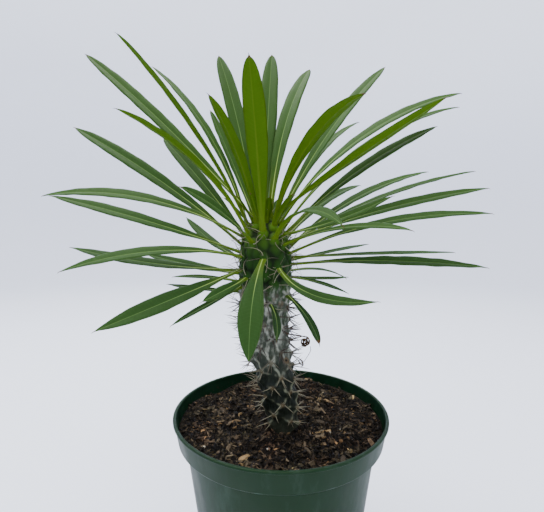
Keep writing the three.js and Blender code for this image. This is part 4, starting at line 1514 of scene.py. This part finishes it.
def young_rows(number):
    """Rows for the small leaves that have just grown in the crown's centre, the youngest first."""
    return [Leaf(*(first + i * step for first, step in zip(YOUNGEST, NEXT_OLDER))) for i in range(number)]


class PALM_OT_leaves(bpy.types.Operator):
    """Model every leaf as a thin blade with its keel, fold, waved margin and fine point"""

    bl_idname = "palm.leaves"
    bl_label = "Leaves"

    def execute(self, context):
        leaf = context.scene.palm_leaf
        upper_green, under_green_with_painted_glow, under_rib = tuple(leaf.upper), tuple(leaf.under), tuple(leaf.under_rib)
        rib, pale_rib = tuple(leaf.rib), tuple(leaf.pale_rib)
        above = Face(upper_green, rib, pale_rib, 0.4, 0.2, 0.85, 0.04, 0.5, 0.04, 0.35)
        # the underside's green carries painted glow of light shining through the leaf
        below = Face(under_green_with_painted_glow, under_rib, under_rib, 1.1, 0.35, 0.8, 0.16, 0.55, 0.04, 0.45)
        upper = leaf_finish("Leaf upper face", leaf, above)
        under = leaf_finish("Leaf underside", leaf, below)
        for number, row in enumerate(LEAVES, 1):
            bm = Blade(row, number, leaf).mesh(columns=28, rows=56)
            blade = finish_mesh(bm, f"leaf_blade_{number:02d}", [upper, under])
            dress(blade, "leaf", f"leaf_{number:02d}")
        small_rows = enumerate(young_rows(leaf.youngest), YOUNGEST_NUMBER)
        youngest = [Blade(row, number, leaf).mesh(columns=14, rows=20) for number, row in small_rows]
        dress(join_batches(youngest, "youngest_leaves", [upper, under], smooth_faces=True), "leaf")
        return {"FINISHED"}


def curl_place(t):
    """Middle of the dead leaf at t from 0 to 1, its axes across and out of the curl, and how far
    round the curl it is."""
    dead = WITHERED_LEAF
    stalk_share = WITHERED_STALK_SHARE
    point = stem_place(dead.foot, dead.side).point
    side, rise = math.radians(dead.side), math.radians(dead.rise)
    across = sideways(side)
    along = Vector((math.cos(side) * math.cos(rise), math.sin(side) * math.cos(rise), math.sin(rise)))
    up = along.cross(across)
    if t < stalk_share:
        return point + along * dead.stalk * t / stalk_share, across, up, 0.0
    curled = (t - stalk_share) / (1 - stalk_share)
    angle = math.tau * dead.turns * curled
    outward = up * math.cos(angle) + along * math.sin(angle)
    hub = point + along * dead.stalk - up * dead.radius
    middle = hub + outward * dead.radius * (1 - 0.25 * curled) - across * dead.shift * curled
    return middle, across, outward, curled


def withered_curl():
    """The dead leaf's skin: a dry stalk and a wrinkled strip, curled up and torn at its end."""
    dead = WITHERED_LEAF

    def place(u, v):
        middle, across, outward, curled = curl_place(v)
        if v <= 0:
            middle -= (curl_place(0.01)[0] - middle).normalized() * LEAF_SUNK
        half = between(dead.stalk_width, dead.width, smooth(curled, 0, 0.3) - smooth(curled, 0.7, 1.4)) / 2
        x = math.cos(math.tau * u)
        thick = dead.thickness / 2 * math.sin(math.tau * u) * (1 - 0.5 * smooth(curled, 0.1, 0.5))
        cupped = 0.45 * x * x * smooth(curled, 0, 0.3)
        ragged = 1 + 0.35 * noise.noise(Vector((x * 2, curled * 9, 5)))
        return (middle + across * half * x * ragged + outward * (thick - cupped)) * MM

    bm, _ = wrapped_grid(16, 90, place)
    weld(bm)
    for vert in bm.verts:
        vert.co += vert.normal * 0.35 * MM * noise.noise(vert.co * 700)
    return bm


def dry_strip(middle, width, thickness, rows):
    """A thin dry strip along middle(t), which gives a point and the way across the strip."""
    def place(u, v):
        point, across = middle(v)
        ahead = (middle(min(1.0, v + 0.01))[0] - middle(max(0.0, v - 0.01))[0]).normalized()
        over = ahead.cross(across).normalized()
        slim = 1 - 0.7 * v**3
        flat = across * math.cos(math.tau * u) * width / 2 * slim
        return (point + flat + over * math.sin(math.tau * u) * thickness / 2) * MM

    bm, _ = wrapped_grid(8, rows, place)
    weld(bm)
    return bm


def dry_loop(hub, radius, turns, draw):
    """A crumpled loop about a point, in any direction."""
    axis = Vector((draw() - 0.5, draw() - 0.5, draw() - 0.5)).normalized()
    side = axis.orthogonal().normalized()
    other = axis.cross(side)
    start = math.tau * draw()

    def middle(t):
        angle = start + math.tau * turns * t
        out = side * math.cos(angle) + other * math.sin(angle)
        crumple = 0.5 * noise.noise(out * 2 + axis * 7)
        return hub + out * (radius * (1 - 0.3 * t) + crumple) + axis * 1.2 * t, axis

    return dry_strip(middle, LOOP_WIDTH, LOOP_THICKNESS, 30)


def dry_thread(points):
    """A thread of dry leaf through the points."""
    def middle(t):
        return spline_point(points, t), Vector((0, 1, 0))

    return dry_strip(middle, THREAD_WIDTH, THREAD_WIDTH, 24)


def withered_remains():
    """Crumpled loops round the dead leaf's curl, a thread that hangs from it, and the dry end
    that it leads to at the stem's edge."""
    draw = seeded(61)
    hub = curl_place(WITHERED_STALK_SHARE + 0.01)[0] - Vector((0, 0, WITHERED_LEAF.radius))
    loops = [dry_loop(hub + Vector((draw() - 0.5, draw() - 0.5, draw() - 0.5)) * LOOP_SCATTER,
                      between(*LOOP_RADIUS, draw()), between(*LOOP_TURNS, draw()), draw)
             for _ in range(LOOP_COUNT)]
    loops.append(dry_loop(Vector(THREAD[-1]), *END_LOOP, draw))
    return [*loops, dry_thread(THREAD)]


class PALM_OT_withered_leaf(bpy.types.Operator):
    """Curl up the dead leaf that hangs among the spines, with its loops and its thread"""

    bl_idname = "palm.withered_leaf"
    bl_label = "Withered leaf"

    def execute(self, context):
        leaf = context.scene.palm_leaf
        curl = finish_mesh(withered_curl(), "withered_curl", [withered_finish(leaf)])
        dress(curl, "withered", "withered_leaf")
        remains = join_batches(withered_remains(), "withered_loops", [curl.data.materials[0]], True)
        dress(remains, "withered")
        return {"FINISHED"}


# Spines

class Keepout:
    """Tells whether a spine stays clear of every leaf."""

    WIDEST = 10
    STALK_WIDTH = 3.3

    def __init__(self):
        self.widths = []
        points = []
        for leaf in LEAVES:
            for at in leaf_stations(leaf, 30):
                points.append(at.point)
                self.widths.append(blade_width(leaf, at.s, self.STALK_WIDTH))
        for i in range(25):
            points.append(curl_place(i / 24)[0])
            self.widths.append(WITHERED_LEAF.width)
        self.tree = tree_of(points)

    def clear(self, start, reach, clearance):
        for share in (0.1, 0.3, 0.5, 0.7, 0.85, 1):
            for _, i, apart in self.tree.find_range(start + reach * share, self.WIDEST + clearance):
                if apart - self.widths[i] / 2 <= clearance:
                    return False
        return True


Spine = namedtuple("Spine", "start reach bend radius tone rows")


def spine_mesh(spine):
    """One spine: a thin cone, slightly arched, whose foot is sunk in the stem."""
    direction = spine.reach.normalized()
    long = spine.reach.length

    def middle(t):
        arch = spine.bend * long * (t * t - t / 2)
        return spine.start + direction * ((long + SPINE_SUNK) * t - SPINE_SUNK) + arch

    side = direction.orthogonal().normalized()
    other = direction.cross(side)

    def place(u, v):
        thin = spine.radius * (1 - v) ** SPINE_TAPER
        return (middle(v) + (side * math.cos(math.tau * u) + other * math.sin(math.tau * u)) * thin) * MM

    bm, spots = wrapped_grid(SPINE_SIDES, spine.rows, place, ("along", "shade"))
    along = bm.verts.layers.float["along"]
    shade = bm.verts.layers.float["shade"]
    for vert, (_, v) in spots.items():
        vert[along] = v
        vert[shade] = spine.tone
    weld(bm)
    return bm


def spines_of(tubercle, stem, draw, more, keepout):
    """A tubercle's two long spines as in the solid stem, and thinner ones round them."""
    point, out, side, crown = tubercle
    across = sideways(math.radians(side))
    up = out.cross(across)
    full = (stem.crown_spine_length if crown else stem.spine_length) / MM
    radius = stem.spine_radius / MM * (CROWN_SPINE_RADIUS if crown else 1 + 0.5 * smooth(point.z, *STOUTER))
    curve = CROWN_SPINE_BEND if crown else SPINE_BEND
    in_crown = smooth(point.z, CROWN_FOOT - 1, CROWN_FOOT + 13)
    tone = smooth(point.z, *BROWNER) - 0.55 * in_crown + between(0.4, 1.0, in_crown) * (more() - 0.5)
    found = []
    for hand in (-1, 1):
        splay = hand * between(*(CROWN_SPINE_SPLAY if crown else SPINE_SPLAY), draw())
        tilt = between(*SPINE_TILT, draw())
        reach = (out + across * splay + up * tilt).normalized() * full * between(*SPINE_SHARE, draw())
        start = (point + out * (CROWN_SPINE_FOOT if crown else SPINE_FOOT)
                 + across * hand * (CROWN_SPINE_OFFSET if crown else SPINE_OFFSET))
        bend = (up * (more() - 0.35) + across * (more() - 0.5)) * curve
        if keepout.clear(start, reach, SPINE_CLEARANCE):
            found.append(Spine(start, reach, bend, radius, tone, SPINE_ROWS))
    upper = point.z > FULLER_ABOVE and not crown
    for i in range(stem.upper_spines if upper else stem.thin_spines):
        around = math.pi * (i + 0.5) + 1.1 * (more() - 0.5) if upper else math.tau * more()
        splay = between(*(CROWN_THIN_SPLAY if crown else THIN_SPLAY), more())
        way = out + (across * math.cos(around) + up * math.sin(around)) * splay
        reach = way.normalized() * full * between(*(UPPER_THIN_SHARE if upper else THIN_SHARE), more())
        start = point + out * 1.2 + (across * math.cos(around) + up * math.sin(around)) * 0.8
        bend = (up * (more() - 0.4) + across * (more() - 0.5)) * curve
        if keepout.clear(start, reach, THIN_CLEARANCE):
            slim = between(*(UPPER_THIN_RADIUS if upper else THIN_RADIUS), more())
            found.append(Spine(start, reach, bend, radius * slim, tone, SPINE_ROWS))
    return [spine for spine in found if spine.start.z > SPINES_ABOVE]


def whiskers_of(cushion, stem, more, keepout):
    """Thin spines that stand round a cushion of the crown and bend over its skin."""
    point, out, side, _ = cushion
    across = sideways(math.radians(side))
    up = out.cross(across)
    found = []
    radius = stem.spine_radius / MM * WHISKER_RADIUS
    for i in range(WHISKERS):
        for _ in range(WHISKER_TRIES):
            around = math.tau * (i + more()) / WHISKERS
            aside = across * math.cos(around) + up * math.sin(around)
            way = out * between(*WHISKER_OUTWARD, more()) + aside
            reach = way.normalized() * stem.crown_spine_length / MM * between(*WHISKER_SHARE, more())
            start = point + out * WHISKER_OFFSET + aside * WHISKER_OFFSET
            bend = aside.cross(out) * (more() - 0.5) * 2.4 - out * 0.6 * more()
            if keepout.clear(start, reach, WHISKER_CLEARANCE):
                found.append(Spine(start, reach, bend, radius, 0.7 * more() - 0.1, WHISKER_ROWS))
                break
    return found


def spine_batches(stem):
    draw, more, keepout = seeded(7), seeded(8), Keepout()
    spines = [spine for tubercle in TUBERCLES for spine in spines_of(tubercle, stem, draw, more, keepout)]
    for cushion in TUBERCLES:
        if cushion.crown and cushion.point.z < WHISKERS_BELOW:
            spines += whiskers_of(cushion, stem, more, keepout)
    return [spine_mesh(spine) for spine in spines]


def spine_finish(stem):
    finish = Finish("Spines")
    along = finish.attribute("along")
    grain = finish.noise(finish.place(), 900.0, 3.0)
    base = finish.blend(finish.attribute("shade"), tuple(stem.spine), tuple(stem.old_spine))
    tipped = finish.blend(finish.ramp(along, 0.55, 1.0, 0.0, 0.8), base, tuple(stem.spine_tip))
    finish.set(
        Base_Color=finish.blend(finish.ramp(grain, 0.4, 0.7, 0.0, 0.35), tipped, tuple(stem.spine_tip)),
        Roughness=0.5,
        Specular_IOR_Level=0.25,
        Normal=finish.bump(grain, 0.1 * MM, 0.4),
    )
    return finish.material


class PALM_OT_spines(bpy.types.Operator):
    """Set the spines on the tubercles, clear of every leaf"""

    bl_idname = "palm.spines"
    bl_label = "Spines"

    def execute(self, context):
        stem = context.scene.palm_stem
        spines = join_batches(spine_batches(stem), "spines", [spine_finish(stem)], smooth_faces=True)
        dress(spines, "stem")
        return {"FINISHED"}


# Stage

PHOTO_WIDTH = 544
FOCAL_LENGTH_IN_PIXELS = 390
SENSOR_WIDTH = 36
# The camera's place beside and before the pot's axis and above its rim, in millimetres, and how many
# degrees it looks down
CAMERA_ASIDE = -6.2
CAMERA_BEFORE = 280.2
CAMERA_ABOVE_RIM = 133.3
CAMERA_DOWN = 4.29


def backdrop_finish(stage):
    finish = Finish("Backdrop")
    z = finish.split(finish.place())[2]
    finish.set(
        Base_Color=tuple(stage.backdrop),
        Roughness=0.9,
        Specular_IOR_Level=0.0,
        Emission_Color=tuple(stage.backdrop),
        Emission_Strength=finish.ramp(z, 0.2, 1.9, 0.0, stage.glow),
    )
    return finish.material


def soft_light(name, power, size, place, aim):
    lamp = bpy.data.lights.new(name, "AREA")
    lamp.shape = "DISK"
    lamp.size = size
    lamp.energy = power
    light = bpy.data.objects.new(name, lamp)
    light.location = place
    light.rotation_euler = (Vector(aim) - Vector(place)).to_track_quat("-Z", "Y").to_euler()
    bpy.context.scene.collection.objects.link(light)


class PALM_OT_stage(bpy.types.Operator):
    """Set up the pale floor with its round backdrop, the soft light and the camera"""

    bl_idname = "palm.stage"
    bl_label = "Stage"

    def execute(self, context):
        stage = context.scene.palm_stage
        floor_radius, wall_radius, wall_height, cove = 1.7, 2.5, 3.0, 0.75
        corners = rounded([(0, 0, 0), (floor_radius, 0, 0), (wall_radius, 0, cove),
                           (wall_radius, wall_height, 0)], 12)
        bm = revolved(corners, 96)
        bmesh.ops.remove_doubles(bm, verts=bm.verts, dist=1e-6)
        bmesh.ops.recalc_face_normals(bm, faces=bm.faces)
        finish_mesh(bm, "pale_floor", [backdrop_finish(stage)])

        crown = (0, 0, 0.26)
        soft_light("Key light", stage.key, 1.3, (-0.35, 0.3, 1.8), crown)
        soft_light("Front light", stage.front, 1.2, (0.7, -1.3, 1.2), crown)
        world = bpy.data.worlds.new("Pale sky")
        world.use_nodes = True
        sky = world.node_tree.nodes["Background"]
        sky.inputs["Color"].default_value = (*color(240, 236, 230), 1)
        sky.inputs["Strength"].default_value = stage.sky
        context.scene.world = world

        lens = bpy.data.cameras.new("Camera")
        lens.sensor_width = SENSOR_WIDTH
        lens.lens = FOCAL_LENGTH_IN_PIXELS * SENSOR_WIDTH / PHOTO_WIDTH
        lens.clip_start = 0.01
        camera = bpy.data.objects.new("Camera", lens)
        camera.location = (CAMERA_ASIDE * MM, -CAMERA_BEFORE * MM, POT_HIGH.z + CAMERA_ABOVE_RIM * MM)
        camera.rotation_euler = (math.radians(90 - CAMERA_DOWN), 0, 0)
        context.scene.collection.objects.link(camera)
        context.scene.camera = camera
        return {"FINISHED"}


class PALM_PT_panel(bpy.types.Panel):
    """Lists the pieces of the plant"""

    bl_label = "Potted Madagascar Palm"
    bl_space_type = "VIEW_3D"
    bl_region_type = "UI"
    bl_category = "Palm"

    def draw(self, context):
        for name in ("pot", "soil", "stem", "leaves", "withered_leaf", "spines", "stage"):
            self.layout.operator(f"palm.{name}")
        for group in ("palm_pot", "palm_soil", "palm_stem", "palm_leaf", "palm_stage"):
            box = self.layout.box()
            settings = getattr(context.scene, group)
            for setting in settings.bl_rna.properties:
                if not setting.is_readonly:
                    box.prop(settings, setting.identifier)


SETTINGS = {
    "palm_pot": PotSettings,
    "palm_soil": SoilSettings,
    "palm_stem": StemSettings,
    "palm_leaf": LeafSettings,
    "palm_stage": StageSettings,
}
CLASSES = (
    *SETTINGS.values(), PALM_OT_pot, PALM_OT_soil, PALM_OT_stem, PALM_OT_leaves,
    PALM_OT_withered_leaf, PALM_OT_spines, PALM_OT_stage, PALM_PT_panel,
)


def register():
    for cls in CLASSES:
        bpy.utils.register_class(cls)
    for name, settings in SETTINGS.items():
        setattr(bpy.types.Scene, name, bpy.props.PointerProperty(type=settings))


def unregister():
    for name in SETTINGS:
        delattr(bpy.types.Scene, name)
    for cls in reversed(CLASSES):
        bpy.utils.unregister_class(cls)


def main():
    register()
    bpy.ops.palm.pot()
    bpy.ops.palm.soil()
    bpy.ops.palm.stem()
    bpy.ops.palm.leaves()
    bpy.ops.palm.withered_leaf()
    bpy.ops.palm.spines()
    bpy.ops.palm.stage()


if __name__ == "__main__":
    main()
